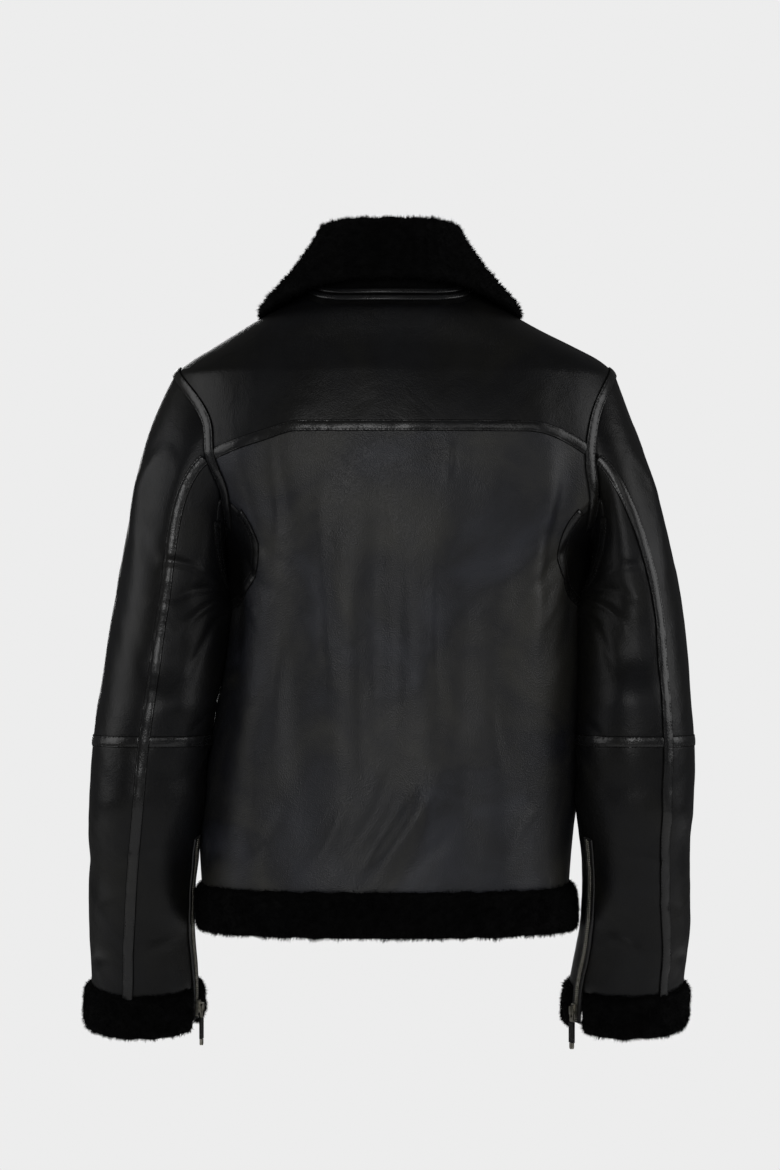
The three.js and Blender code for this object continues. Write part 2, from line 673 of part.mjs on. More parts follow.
function between(columnA, columnB, f) {
  return columnA.map((place, i) => ({
    outer: place.outer.clone().lerp(columnB[i].outer, f),
    inner: place.inner.clone().lerp(columnB[i].inner, f),
  }));
}

function gusset(side) {
  const first = GUSSET_STEP;
  const last = first + 2 * GUSSET_COLUMNS;
  const columns = Array.from({ length: last - first + 1 }, (_, i) => gussetColumn(side, first + i));
  columns[0] = between(columns[0], columns[1], TIP_CUT);
  columns[columns.length - 1] = between(columns[columns.length - 1], columns[columns.length - 2], TIP_CUT);
  const thinner = ({ outer, inner }) => ({ outer, inner: outer.clone().lerp(inner, GUSSET_THICK / WALL) });
  return wall(columns.map((column) => column.map(thinner)), GUSSET_GAP);
}

// Leather straps over the seams

function yokeStrap() {
  const stop = (side) => side * (armholePlace(side, 90).angle - YOKE_STRAP_STOP);
  const path = steps(28).map((f) => mix(stop(RIGHT), stop(LEFT), f)).map((angle) => [angle, yokeLine(angle)]);
  return strap(bodyFrame, path, STRAP);
}

// The armhole strap lies on the body beside the seam, from the gusset's tip behind to its tip in front
function armholeStrap(side) {
  const middle = (ARMHOLE.top + ARMHOLE.bottom) / 2;
  const half = (ARMHOLE.top - ARMHOLE.bottom) / 2 + ARMHOLE_STRAP.rise;
  const path = steps(28).map((f) => {
    const turn = rad(mix(ARMHOLE_STRAP.stop, -ARMHOLE_STRAP.stop, f));
    const z = middle + half * Math.cos(turn);
    const deep = (turn >= 0 ? ARMHOLE.back : ARMHOLE.front) + ARMHOLE_STRAP.inward;
    return [side * bodyAngle(side, deep * Math.sin(turn), z), z];
  });
  return strap(bodyFrame, path, ARMHOLE_SECTION);
}

function bodyGussetStrap(side) {
  const reach = GUSSET_STRAP_STOP;
  const path = steps(18).map((g) => mix(-reach, reach, g)).map((f) => {
    const edge = gussetEdge(side, Math.abs(f), f > 0);
    return [side * edge.angle, edge.z];
  });
  return strap(bodyFrame, path, GUSSET_STRAP);
}

function sleeveGussetStrap(side) {
  const middle = GUSSET_STEP + GUSSET_COLUMNS;
  const path = steps(18).map((g) => {
    const column = middle + GUSSET_COLUMNS * SLEEVE_STRAP_STOP * (2 * g - 1);
    const along = gussetAlong(column);
    return [sleeveTurn(side, column, along), along];
  });
  return strap((u, v) => sleeveFrame(side, u, v), path, GUSSET_SLEEVE_STRAP);
}

function sleeveStrap(side) {
  const path = steps(26).map((f) => {
    const along = mix(...SLEEVE_STRAP_ENDS, f);
    return [sleeveTurn(side, 0, along), along];
  });
  return strap((u, v) => sleeveFrame(side, u, v), path, SLEEVE_STRAP);
}

function elbowStrap(side) {
  const seam = sleeveTurn(side, 0, ELBOW_ALONG);
  const [from, to] = [seam + ELBOW_STRAP_STOP, seam + 360 - ELBOW_STRAP_STOP];
  const path = steps(28).map((f) => [mix(from, to, f), ELBOW_ALONG]);
  return strap((u, v) => sleeveFrame(side, u, v), path, ELBOW_STRAP);
}

// Fur edges: a rounded band below the leather, on the same surface
const FUR_SECTION = [
  [-WALL, 0], [-WALL, 1], [1, 1], [0.75 * FUR_RISE, 0.95],
  [FUR_RISE, 0.75], [FUR_RISE, 0.3], [0.7 * FUR_RISE, 0.06], [0, 0],
];

function furRing(frame, top, bottom) {
  return FUR_SECTION.map(([out, down]) => {
    const at = frame(mix(top, bottom, down));
    return at.point.clone().addScaledVector(at.normal, out);
  });
}

function bandCaps() {
  return { caps: capTriangles(FUR_SECTION.map(([out, down]) => new THREE.Vector2(out, -40 * down))) };
}

function hemFur() {
  const gap = Math.asin((FRONT_HALF + SEAM) / BODY(HEM_Z).front) * 180 / Math.PI;
  const rings = steps(40).map((f) => mix(gap - 180, 180 - gap, f)).map((angle) => (
    furRing((z) => bodyFrame(angle, z), HEM_Z - SEAM, HEM_Z - HEM_FUR)));
  return sweep(rings, bandCaps());
}

function cuffFur(side) {
  const zip = CUFF_ZIP[sideName(side)].angle;
  const gap = CUFF_SLIT / SLEEVE[sideName(side)](SLEEVE_END_Z).deep * 180 / Math.PI;
  const [top, bottom] = [2 + SEAM / SLEEVE_DROP, 2 + CUFF_FUR / SLEEVE_DROP];
  const rings = steps(26).map((f) => mix(zip + gap, zip + 360 - gap, f)).map((turn) => (
    furRing((along) => sleeveFrame(side, turn, along), top, bottom)));
  return sweep(rings, bandCaps());
}

// Collar at one angle round the neck: a stand up from the neck seam, a roll, and a fall down the outside
function collarLine(angle) {
  const { roll, rollZ, edge, edgeZ } = COLLAR(Math.abs(angle));
  const seam = body(angle, neckLine(angle));
  const base = { r: Math.hypot(seam.x, seam.y) - STAND_HALF - NECK_GAP, z: seam.z + NECK_RISE };
  const standTop = { r: roll - COLLAR_FOLD, z: rollZ - COLLAR_FOLD };
  const fallTop = { r: roll + COLLAR_FOLD, z: rollZ - COLLAR_FOLD };
  const stand = [0, 0.35, 0.7].map((f) => ({
    r: mix(base.r, standTop.r, f), z: mix(base.z, standTop.z, f), half: STAND_HALF,
  }));
  const arc = steps(4).map((f) => ({
    r: roll - COLLAR_FOLD * Math.cos(Math.PI * f),
    z: rollZ - COLLAR_FOLD + COLLAR_FOLD * Math.sin(Math.PI * f),
    half: mix(STAND_HALF, FALL_HALF, Math.min(1, f * 1.4)),
  }));
  const bend = { r: fallTop.r + 0.35 * (edge - fallTop.r), z: mix(fallTop.z, edgeZ, 0.5) };
  const fall = [0.3, 0.55, 0.8, 1].map((f) => {
    const g = 1 - f;
    return {
      r: g * g * fallTop.r + 2 * g * f * bend.r + f * f * edge,
      z: g * g * fallTop.z + 2 * g * f * bend.z + f * f * edgeZ,
      half: f === 1 ? 0.6 * FALL_HALF : FALL_HALF,
    };
  });
  return { base, standTop, line: [...stand, ...arc, ...fall] };
}

function aroundNeck(angle, r, z) {
  return new THREE.Vector3(r * Math.sin(rad(angle)), r * Math.cos(rad(angle)), z);
}

// Section of the collar: the line thickened to both sides
function collarSection(angle) {
  const { line } = collarLine(angle);
  const offset = (sign) => line.map((p, i) => {
    const before = line[Math.max(i - 1, 0)];
    const after = line[Math.min(i + 1, line.length - 1)];
    const length = Math.hypot(after.r - before.r, after.z - before.z);
    const out = { r: -(after.z - before.z) / length, z: (after.r - before.r) / length };
    return { r: p.r + sign * out.r * p.half, z: p.z + sign * out.z * p.half };
  });
  return [...offset(1), ...offset(-1).reverse()];
}

function collar() {
  const angles = steps(36).map((f) => mix(-COLLAR_END, COLLAR_END, f));
  const rings = angles.map((angle) => collarSection(angle).map((p) => aroundNeck(angle, p.r, p.z)));
  const flat = collarSection(COLLAR_END).map((p) => new THREE.Vector2(p.r, p.z));
  return sweep(rings, { caps: capTriangles(flat) });
}

// Leather band round the outside of the collar's stand
function collarBand(low) {
  const angles = steps(36).map((f) => mix(-BAND_END, BAND_END, f));
  const rings = angles.map((angle) => {
    const { base, standTop } = collarLine(angle);
    const up = new THREE.Vector2(standTop.r - base.r, standTop.z - base.z).normalize();
    const out = new THREE.Vector2(up.y, -up.x);
    const near = STAND_HALF + COLLAR_BANDS.lift;
    const far = near + COLLAR_BANDS.thick;
    const high = low + COLLAR_BANDS.height;
    const corners = [[low, near], [low, far], [high, far], [high, near]];
    return corners.map(([h, o]) => {
      const at = up.clone().multiplyScalar(h).addScaledVector(out, o);
      return aroundNeck(angle, base.r + at.x, base.z + at.y);
    });
  });
  return sweep(rings);
}

// Zips

function cuffZip(side) {
  const angle = CUFF_ZIP[sideName(side)].angle;
  const from = 1 + (SLEEVE_TOP_Z - CUFF_ZIP_TOP_Z) / SLEEVE_DROP;
  const to = 2 + CUFF_ZIP_END / SLEEVE_DROP;
  const path = steps(16).map((f) => [angle, mix(from, to, f)]);
  return strap((u, v) => sleeveFrame(side, u, v), path, ZIP);
}

function frontZip() {
  const section = { width: 2 * (FRONT_HALF - SEAM), thick: FRONT_ZIP.thick, lift: -FRONT_ZIP.sunk };
  const path = steps(34).map((f) => [180, mix(FRONT_ZIP.top, FRONT_ZIP.bottom, f)]);
  return strap(bodyFrame, path, section);
}

function toSolid(geometry) {
  const flat = geometry.index ? geometry.toNonIndexed() : geometry;
  const points = flat.getAttribute('position');
  const lookup = new Map();
  const vertices = [];
  const triangles = [];
  for (let i = 0; i < points.count; i += 1) {
    const rounded = (value) => Math.round(value * 1e4) / 1e4;
    const xyz = [points.getX(i), points.getY(i), points.getZ(i)].map(rounded);
    const key = xyz.join();
    if (!lookup.has(key)) {
      lookup.set(key, vertices.length / 3);
      vertices.push(...xyz);
    }
    triangles.push(lookup.get(key));
  }
  const mesh = new wasm.Mesh({
    numProp: 3,
    vertProperties: new Float32Array(vertices),
    triVerts: new Uint32Array(triangles),
  });
  return new wasm.Manifold(mesh);
}

function fromSolid(solid) {
  const mesh = solid.getMesh();
  const geometry = new THREE.BufferGeometry();
  geometry.setAttribute('position', new THREE.Float32BufferAttribute(Array.from(mesh.vertProperties), 3));
  geometry.setIndex(Array.from(mesh.triVerts));
  return geometry;
}

function outline(points, hole = null) {
  const shape = new THREE.Shape(points.map(([x, y]) => new THREE.Vector2(x, y)));
  if (hole) shape.holes.push(new THREE.Path(hole.map(([x, y]) => new THREE.Vector2(x, y))));
  return shape;
}

function plate(shape, depth, from = -depth / 2) {
  return new THREE.ExtrudeGeometry(shape, { depth, bevelEnabled: false }).translate(0, 0, from);
}

// Slider in its own frame: x down the zip, y across it, z out from it. A plate with a bridge over it.
function sliderShape() {
  const { half, wide, plate: base, bridge, windowHalf, windowLow, windowHigh, high } = SLIDER;
  const foot = outline([[-half, -wide / 2], [half, -wide / 3], [half, wide / 3], [-half, wide / 2]]);
  const arch = outline(
    [[-half + 1, 0.5], [half - 1, 0.5], [windowHalf + 1.2, high], [-windowHalf - 1.2, high]],
    [[-windowHalf, windowLow], [windowHalf, windowLow], [windowHalf, windowHigh], [-windowHalf, windowHigh]],
  );
  const bridgeSolid = plate(arch, bridge).rotateX(Math.PI / 2);
  return fromSolid(toSolid(plate(foot, base, 0)).add(toSolid(bridgeSolid)));
}

function pullShape() {
  const { wide, inner, bar, thick, length, window } = PULL;
  const frame = outline(
    [[-bar, -wide / 2], [length - 1.5, -wide / 2], [length, -wide / 3], [length, wide / 3],
      [length - 1.5, wide / 2], [-bar, wide / 2]],
    [[bar, -inner / 2], [window, -inner / 2], [window, inner / 2], [bar, inner / 2]],
  );
  return plate(frame, thick).translate(0, 0, HINGE_OUT);
}

function tabShape() {
  const { wide, thick, length } = TAB;
  const from = PULL.length + 0.3;
  const to = from + length;
  const shape = outline([[from, -wide / 2], [to, -wide / 2], [to, wide / 2], [from, wide / 2]]);
  return plate(shape, thick).translate(0, 0, HINGE_OUT);
}

function tabEndShape() {
  const { wide, thick, length } = TAB_END;
  const from = PULL.length + TAB.length + 0.6;
  const corner = wide / 4;
  const to = from + length;
  const shape = outline([
    [from, -wide / 2], [to - corner, -wide / 2], [to, -wide / 2 + corner],
    [to, wide / 2 - corner], [to - corner, wide / 2], [from, wide / 2],
  ]);
  return plate(shape, thick).translate(0, 0, HINGE_OUT);
}

// Group at a slider's place: x down, y across, z out of the cloth
function sliderGroup(name, point, down, out) {
  const group = new THREE.Group();
  group.name = name;
  const across = out.clone().cross(down).normalize();
  const square = down.clone().cross(across).normalize();
  group.matrixAutoUpdate = false;
  group.matrix.makeBasis(down, across, square).setPosition(point);
  return group;
}

function cuffSliderGroup(side) {
  const { angle } = CUFF_ZIP[sideName(side)];
  const at = sleeveFrame(side, angle, 2 + CUFF_HINGE_DROP / SLEEVE_DROP);
  const out = at.normal.clone().setZ(0).normalize();
  const point = at.point.clone().addScaledVector(out, CUFF_SLIDER_OUT);
  return sliderGroup(`cuff_slider_place_${sideName(side)}`, point, new THREE.Vector3(0, 0, -1), out);
}

function frontSliderGroup() {
  const at = bodyFrame(180, FRONT_HINGE_Z);
  const point = at.point.clone().addScaledVector(at.normal, FRONT_SLIDER_OUT);
  return sliderGroup('front_slider_place', point, at.alongV.clone().normalize().negate(), at.normal);
}

function mesh(name, geometry, look) {
  const made = new THREE.Mesh(geometry, new THREE.MeshStandardMaterial({ ...MATERIALS[look], name: look }));
  made.name = name;
  return made;
}

const jacket = new THREE.Group();
jacket.name = 'shearling_jacket';

jacket.add(mesh('back_panel', backPanel(), 'leather'));
jacket.add(mesh('back_yoke', backYoke(), 'leather'));
jacket.add(mesh('yoke_strap', yokeStrap(), 'strap'));
jacket.add(mesh('hem_fur', hemFur(), 'fur'));
jacket.add(mesh('collar', collar(), 'fur'));
jacket.add(mesh('collar_band_lower', collarBand(COLLAR_BANDS.lower), 'strap'));
jacket.add(mesh('collar_band_upper', collarBand(COLLAR_BANDS.upper), 'strap'));
jacket.add(mesh('front_zip', frontZip(), 'tape'));

for (const [name, side] of Object.entries(SIDES)) {
  jacket.add(mesh(`front_${name}`, frontPanel(side), 'leather'));
  jacket.add(mesh(`sleeve_upper_${name}`, sleeveUpper(side), 'leather'));
  jacket.add(mesh(`sleeve_lower_${name}`, sleeveLower(side), 'leather'));
  jacket.add(mesh(`gusset_${name}`, gusset(side), 'leather'));
  jacket.add(mesh(`armhole_strap_${name}`, armholeStrap(side), 'strap'));
  jacket.add(mesh(`gusset_strap_body_${name}`, bodyGussetStrap(side), 'strap'));
  jacket.add(mesh(`gusset_strap_sleeve_${name}`, sleeveGussetStrap(side), 'strap'));
  jacket.add(mesh(`sleeve_strap_${name}`, sleeveStrap(side), 'strap'));
  jacket.add(mesh(`elbow_strap_${name}`, elbowStrap(side), 'strap'));
  jacket.add(mesh(`cuff_fur_${name}`, cuffFur(side), 'fur'));
  jacket.add(mesh(`cuff_zip_${name}`, cuffZip(side), 'tape'));
  const place = cuffSliderGroup(side);
  place.add(mesh(`cuff_slider_${name}`, sliderShape(), 'metal'));
  place.add(mesh(`cuff_pull_${name}`, pullShape(), 'metal'));
  place.add(mesh(`cuff_tab_${name}`, tabShape(), 'strap'));
  place.add(mesh(`cuff_tab_end_${name}`, tabEndShape(), 'metal'));
  jacket.add(place);
}

const frontPlace = frontSliderGroup();
frontPlace.add(mesh('front_slider', sliderShape(), 'metal'));
frontPlace.add(mesh('front_pull', pullShape(), 'metal'));
jacket.add(frontPlace);

export default jacket;
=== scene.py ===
# %% [markdown]
# A shearling jacket: sheepskin worn with its leather side out, with fur on the collar, the hem and the
# cuffs. The solid model gives every piece its place. This file dresses it: each leather panel becomes a
# fine shell with creases, each seam gets its strap with two rows of stitches, and each furry edge gets
# thousands of strands.

# %% Load the frame
import math

import bpy
import numpy as np
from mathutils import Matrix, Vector


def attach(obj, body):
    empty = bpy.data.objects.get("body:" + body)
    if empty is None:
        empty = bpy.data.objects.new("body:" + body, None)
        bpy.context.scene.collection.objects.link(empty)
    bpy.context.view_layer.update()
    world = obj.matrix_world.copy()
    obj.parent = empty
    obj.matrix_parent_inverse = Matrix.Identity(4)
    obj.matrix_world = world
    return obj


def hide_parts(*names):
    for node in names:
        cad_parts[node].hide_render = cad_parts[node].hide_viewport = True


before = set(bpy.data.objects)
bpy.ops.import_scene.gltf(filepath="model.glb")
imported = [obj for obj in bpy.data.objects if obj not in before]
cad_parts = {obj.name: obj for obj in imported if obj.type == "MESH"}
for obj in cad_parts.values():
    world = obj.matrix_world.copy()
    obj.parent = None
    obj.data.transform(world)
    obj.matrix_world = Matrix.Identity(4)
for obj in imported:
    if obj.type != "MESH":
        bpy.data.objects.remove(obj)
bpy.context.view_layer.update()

# %% [markdown]
# The camera stands behind the jacket, level with the middle of it, because that is the side on show. A long
# lens from three and a half metres keeps the sleeves nearly as large as the back, as in a shop's catalogue.

# %% Camera
CAMERA_FROM = (0, 3.5, -0.306)
LENS_MM, SENSOR_MM = 104.6, 36
camera_data = bpy.data.cameras.new("camera")
camera_data.sensor_width = SENSOR_MM
camera_data.lens = LENS_MM
camera = bpy.data.objects.new("camera", camera_data)
camera.location = CAMERA_FROM
camera.rotation_euler = (math.radians(90), 0, math.radians(180))
bpy.context.scene.collection.objects.link(camera)
bpy.context.scene.camera = camera
print("camera at", CAMERA_FROM, "m, with a lens of", LENS_MM, "mm")

# %% [markdown]
# Black leather shows only what it reflects, so its softness comes from the size of the lights. A key and a
# weaker panel stand behind the camera, large ones at both sides draw broad satin bands along the folds, and
# one above and one in front reach what the others leave dark. The camera alone sees the pale world at its
# full strength; a little of it fills the shadows. The floor is a matt disc that glows very faintly.

# %% Light and floor
scene = bpy.context.scene
scene.view_settings.view_transform = "Standard"
world = bpy.data.worlds.new("studio")
world.use_nodes = True
GROUND = (0.846, 0.846, 0.846, 1)
SHADOW_FILL = 0.07
FLOOR_GREY = (0.86, 0.86, 0.86, 1)
FLOOR_ROUGHNESS, FLOOR_GLOW = 0.9, 0.08
sky, world_out = world.node_tree.nodes["Background"], world.node_tree.nodes["World Output"]
sky.inputs["Color"].default_value = GROUND
fill = world.node_tree.nodes.new("ShaderNodeBackground")
fill.inputs["Color"].default_value = GROUND
fill.inputs["Strength"].default_value = SHADOW_FILL
seen = world.node_tree.nodes.new("ShaderNodeLightPath")
choose = world.node_tree.nodes.new("ShaderNodeMixShader")
world.node_tree.links.new(seen.outputs["Is Camera Ray"], choose.inputs["Fac"])
world.node_tree.links.new(fill.outputs["Background"], choose.inputs[1])
world.node_tree.links.new(sky.outputs["Background"], choose.inputs[2])
world.node_tree.links.new(choose.outputs["Shader"], world_out.inputs["Surface"])
scene.world = world


def soft_light(name, place, size, power, aim=(0, 0, -0.3)):
    """A square panel of light at a place, turned towards a point."""
    lamp = bpy.data.lights.new(name, "AREA")
    lamp.size = size
    lamp.energy = power
    made = bpy.data.objects.new(name, lamp)
    made.location = place
    made.rotation_euler = (Vector(aim) - Vector(place)).to_track_quat("-Z", "Y").to_euler()
    scene.collection.objects.link(made)


soft_light("key_panel", (0.7, 4.4, 0.2), 1.3, 26)
soft_light("second_panel", (-1.9, 4.0, 0.4), 1.2, 6)
soft_light("left_panel", (3.2, 0.5, 0.5), 2.2, 22)
soft_light("right_panel", (-3.2, 0.7, 0.5), 2.2, 26)
soft_light("top_panel", (0.0, 0.6, 2.8), 1.4, 5)
soft_light("front_panel", (0.6, -4.2, 0.3), 1.8, 48)

FLOOR_Z = -1.45
FLOOR_RADIUS = 2.9
FLOOR_CORNERS = 96
turns = np.linspace(0, 2 * np.pi, FLOOR_CORNERS + 1)[:-1]
floor_points = np.stack([FLOOR_RADIUS * np.cos(turns), FLOOR_RADIUS * np.sin(turns), FLOOR_Z + 0 * turns], -1)
floor_mesh = bpy.data.meshes.new("floor")
floor_mesh.from_pydata(floor_points.tolist(), [], [list(range(len(turns)))])
floor = bpy.data.objects.new("floor", floor_mesh)
scene.collection.objects.link(floor)
floor_look = bpy.data.materials.new("floor")
floor_look.use_nodes = True
floor_shader = floor_look.node_tree.nodes["Principled BSDF"]
floor_shader.inputs["Base Color"].default_value = FLOOR_GREY
floor_shader.inputs["Roughness"].default_value = FLOOR_ROUGHNESS
floor_shader.inputs["Emission Color"].default_value = FLOOR_GREY
floor_shader.inputs["Emission Strength"].default_value = FLOOR_GLOW
floor_mesh.materials.append(floor_look)
print(len(bpy.data.lights), "panels of light over a floor", 2 * FLOOR_RADIUS, "m wide")

# %% [markdown]
# The jacket's form is a pair of rules, one for the body and one for a sleeve. Each takes two numbers, a
# turn and a height, and gives a point. The tables below hold the sizes in millimetres, measured at a few
# heights, and a smooth curve is drawn through them. Writing the form down once means that panels, straps
# and fur all fit.

# %% Tables
LEFT, RIGHT = 1, -1
SIDES = {"left": LEFT, "right": RIGHT}
WALL = 4
HEM_Z, HEM_FUR = -613, 44
SLEEVE_TOP_Z, SLEEVE_END_Z, ELBOW_Z = -342, -718, -463
SLEEVE_DROP = SLEEVE_TOP_Z - SLEEVE_END_Z
ELBOW_ALONG = 1 + (SLEEVE_TOP_Z - ELBOW_Z) / SLEEVE_DROP
CUFF_FUR = 42


def hermite(a, slope_a, b, slope_b, f):
    """The cubic from a to b with the given slopes, at the share f of the way."""
    g, h = f * f, f * f * f
    return (2 * h - 3 * g + 1) * a + (h - 2 * g + f) * slope_a + (3 * g - 2 * h) * b + (h - g) * slope_b


def table(rows):
    """A smooth curve through rows of numbers, read at any value of the first column. Past its ends it holds."""
    rows = np.array(rows, float)
    keys, values = rows[:, 0], rows[:, 1:]
    count = len(keys)
    before, after = np.maximum(np.arange(count) - 1, 0), np.minimum(np.arange(count) + 1, count - 1)
    slopes = (values[after] - values[before]) / (keys[after] - keys[before])[:, None]

    def read(key):
        key = np.clip(np.asarray(key, float), keys[0], keys[-1])
        i = np.clip(np.searchsorted(keys, key, side="right") - 1, 0, count - 2)
        span = (keys[i + 1] - keys[i])[..., None]
        f = ((key - keys[i])[..., None]) / span
        made = hermite(values[i], slopes[i] * span, values[i + 1], slopes[i + 1] * span, f)
        return np.moveaxis(made, -1, 0)

    return read


# Height, half-widths at the left and the right as worn, depths behind and in front, and how square the oval is
BODY = table([
    [-670, 193, 187, 127, 115, 2.5], [-613, 193, 184, 126, 114, 2.5], [-570, 195, 187, 123, 114, 2.45],
    [-527, 193, 192, 120, 114, 2.4], [-471, 187, 195, 118, 115, 2.4], [-424, 178, 195, 117, 116, 2.35],
    [-342, 163, 193, 121, 117, 2.3], [-300, 162, 193, 123, 117, 2.3], [-265, 166, 201, 124, 116, 2.3],
    [-217, 192, 238, 124, 113, 2.3], [-177, 220, 246, 123, 108, 2.3], [-140, 219, 244, 120, 99, 2.25],
    [-92, 222, 232, 111, 80, 2.15], [-76, 204, 216, 106, 73, 2.1], [-62, 181, 190, 101, 67, 2.1],
    [-43, 151, 152, 92, 58, 2.05], [-20, 112, 112, 79.5, 48, 2], [0, 78, 78, 68, 40, 2],
    [12, 60, 60, 60, 36, 2],
])

# Height, how far out the sleeve's middle is, half-width, depth of the middle, half-depth, and tilt of the ring
SLEEVE = {
    LEFT: table([
        [-775, 256, 56, -28, 60, 0.15], [-718, 254, 55, -22, 60, 0.15], [-661, 256, 54, -8, 60, 0.1],
        [-599, 254.6, 54.6, 14, 61, 0.05], [-527, 248.4, 57.6, 42, 61, 0], [-471, 243.6, 58.4, 46, 62, 0],
        [-424, 236, 60.6, 42, 65, 0], [-342, 224.4, 60.6, 22, 70, 0],
    ]),
    RIGHT: table([
        [-775, 243, 59, -28, 60, 0.15], [-718, 245, 59, -22, 60, 0.15], [-661, 252, 57, -8, 60, 0.1],
        [-599, 252.4, 55.4, 14, 61, 0.05], [-527, 249.6, 59.4, 40, 61, 0], [-471, 251.1, 58, 46, 62, 0],
        [-424, 249.2, 57, 42, 65, 0], [-342, 247.4, 53.6, 22, 70, 0],
    ]),
}
# How far out a sleeve's lines set off at the top, the middle and the armpit, and their slope at the first ring
SLEEVE_HEAD = {LEFT: (0.5, 0.6, -0.1, 0.17), RIGHT: (0.33, 0.5, -0.08, 0.1)}
# Turn of the long seam against the way down the sleeve; 0 is straight out and 90 is behind
SLEEVE_SEAM = {
    LEFT: table([[0, 90], [0.35, 87], [1, 85], [1.4, 87], [1.7, 84], [2, 76], [2.15, 74]]),
    RIGHT: table([[0, 90], [0.35, 80], [0.8, 66], [1.3, 62], [1.7, 63], [2, 54], [2.15, 53]]),
}
print("body half-width at the hem:", float(BODY(HEM_Z)[0]), "mm")

# %% [markdown]
# Leather folds where it hangs from a seam or where an arm bends. The large folds are soft hills and
# troughs: each has a middle, a width, a height and a lean, and falls away like a bell curve. On top of them
# come creases, each drawn as a short bowed line from one point to another. No two have the same size, and
# the front, which arms press on as well, gets its own.

# %% Folds and creases
# Turn and height of the middle, width in degrees, height in millimetres, lean, and rise in millimetres
BODY_FOLDS = np.array([
    [50, -215, 4.5, 50, 0, -7], [56, -225, 4, 50, 0, 3.5], [-64, -215, 3.6, 46, 0, -7],
    [-58, -280, 3.8, 100, 0.01, 5], [74, -300, 9, 34, 0, -3], [-78, -300, 8, 34, 0, -3],
    [22, -390, 9, 130, -0.01, 4], [6, -330, 7, 110, 0, -4], [-14, -410, 9, 140, 0.02, 4],
    [-33, -380, 8, 130, 0, -4.5], [42, -440, 9, 120, 0.02, -4], [58, -500, 8, 90, 0, 3.5],
    [-10, -545, 6.5, 60, -0.3, 4.5], [6, -562, 6.5, 50, -0.25, -3.6], [-45, -540, 8, 70, 0, 4],
    [118, -330, 8, 90, 0.05, -4], [140, -430, 9, 140, 0, 3.5], [160, -300, 7, 120, -0.03, -3],
    [-122, -340, 8, 90, -0.05, -4], [-143, -450, 9, 130, 0, 3.5], [-162, -290, 7, 110, 0.03, -3],
    [88, -490, 14, 80, 0, 2.5], [90, -305, 13, 60, 0, 9], [-88, -440, 14, 70, 0, 2.5],
    [-90, -290, 13, 55, 0, 13],
])
# The same, with the way down the sleeve in place of the height
SLEEVE_FOLDS = {
    LEFT: np.array([
        [35, 0.55, 14, 0.25, 40, 3.5], [125, 0.75, 16, 0.16, -60, -4], [100, 1.12, 30, 0.05, 0, -3],
        [110, 1.22, 34, 0.05, 0, 3], [120, 1.42, 34, 0.05, 0, -3.5], [60, 1.5, 30, 0.05, 0, 3],
        [20, 1.65, 26, 0.06, 0, -2.5], [260, 1.25, 30, 0.05, 0, -4], [260, 1.36, 30, 0.05, 0, 4],
        [250, 0.7, 20, 0.2, 40, -4], [110, 1.82, 40, 0.05, 0, -2.5],
        [172, 0.9, 30, 0.2, 0, 2.5], [172, 1.5, 34, 0.2, 0, 2.5],
    ]),
    RIGHT: np.array([
        [30, 0.5, 14, 0.25, 40, 3.5], [120, 0.8, 16, 0.16, -60, -4], [95, 1.1, 30, 0.05, 0, -3],
        [100, 1.2, 34, 0.05, 0, 3], [115, 1.44, 34, 0.05, 0, -3.5], [50, 1.52, 30, 0.05, 0, 3],
        [20, 1.6, 26, 0.06, 0, -2.5], [262, 1.24, 30, 0.05, 0, -4], [258, 1.37, 30, 0.05, 0, 4],
        [245, 0.7, 20, 0.2, 40, -4], [100, 1.8, 40, 0.05, 0, -2.5],
        [172, 0.9, 30, 0.2, 0, 3.5], [172, 1.36, 34, 0.15, 0, 3.5],
    ]),
}

# From (turn, height) to (turn, height), width, rise and bow, in degrees and millimetres
BODY_CREASES = np.array([
    [70, -262, 52, -318, 5, -2.6, 7], [70, -268, 58, -350, 5, 2.2, 8], [74, -290, 66, -392, 6, -2.2, 6],
    [62, -250, 40, -292, 4.5, -1.8, 6], [58, -262, 34, -330, 5, 1.8, 8],
    [-70, -262, -54, -312, 5, -2.6, -7], [-72, -270, -60, -352, 5, 2.2, -8],
    [-76, -290, -68, -388, 6, -2.2, -6],
    [-62, -245, -42, -280, 4.5, -1.8, -6], [-58, -262, -36, -340, 5, 1.6, -8],
    [-27, -160, -25, -204, 3, 1.6, 1], [-29, -160, -28, -200, 3, -1.2, 1],
    [16, -600, -18, -500, 9, 1.6, 10], [26, -590, -4, -470, 9, -1.5, 9], [0, -604, -34, -530, 9, -1.4, 8],
    [40, -600, 20, -520, 7, 1.8, 8], [60, -596, 44, -520, 7, -1.8, 6], [-44, -604, -58, -530, 7, 1.8, -6],
    [30, -200, 26, -420, 9, 1.6, 5], [-4, -240, -2, -480, 10, -1.6, -5], [-20, -260, -22, -430, 8, 1.5, 4],
    [14, -300, 12, -520, 8, -1.4, 4], [48, -340, 46, -520, 8, 1.6, 5], [-48, -330, -50, -500, 8, -1.8, 5],
    [108, -270, 128, -330, 5, -2.4, 8], [110, -285, 124, -380, 6, 2, 8], [118, -255, 142, -300, 5, 1.8, 7],
    [150, -180, 148, -380, 9, 1.8, 6], [134, -480, 150, -600, 7, -2, 8], [112, -500, 120, -600, 8, 2, 6],
    [-106, -268, -126, -334, 5, -2.4, -8], [-112, -285, -126, -372, 6, 2, -8],
    [-120, -252, -144, -304, 5, 1.8, -7], [-152, -190, -150, -400, 9, 1.8, 6],
    [-132, -470, -152, -600, 7, -2, 8], [-112, -510, -118, -604, 8, 2, 6],
])
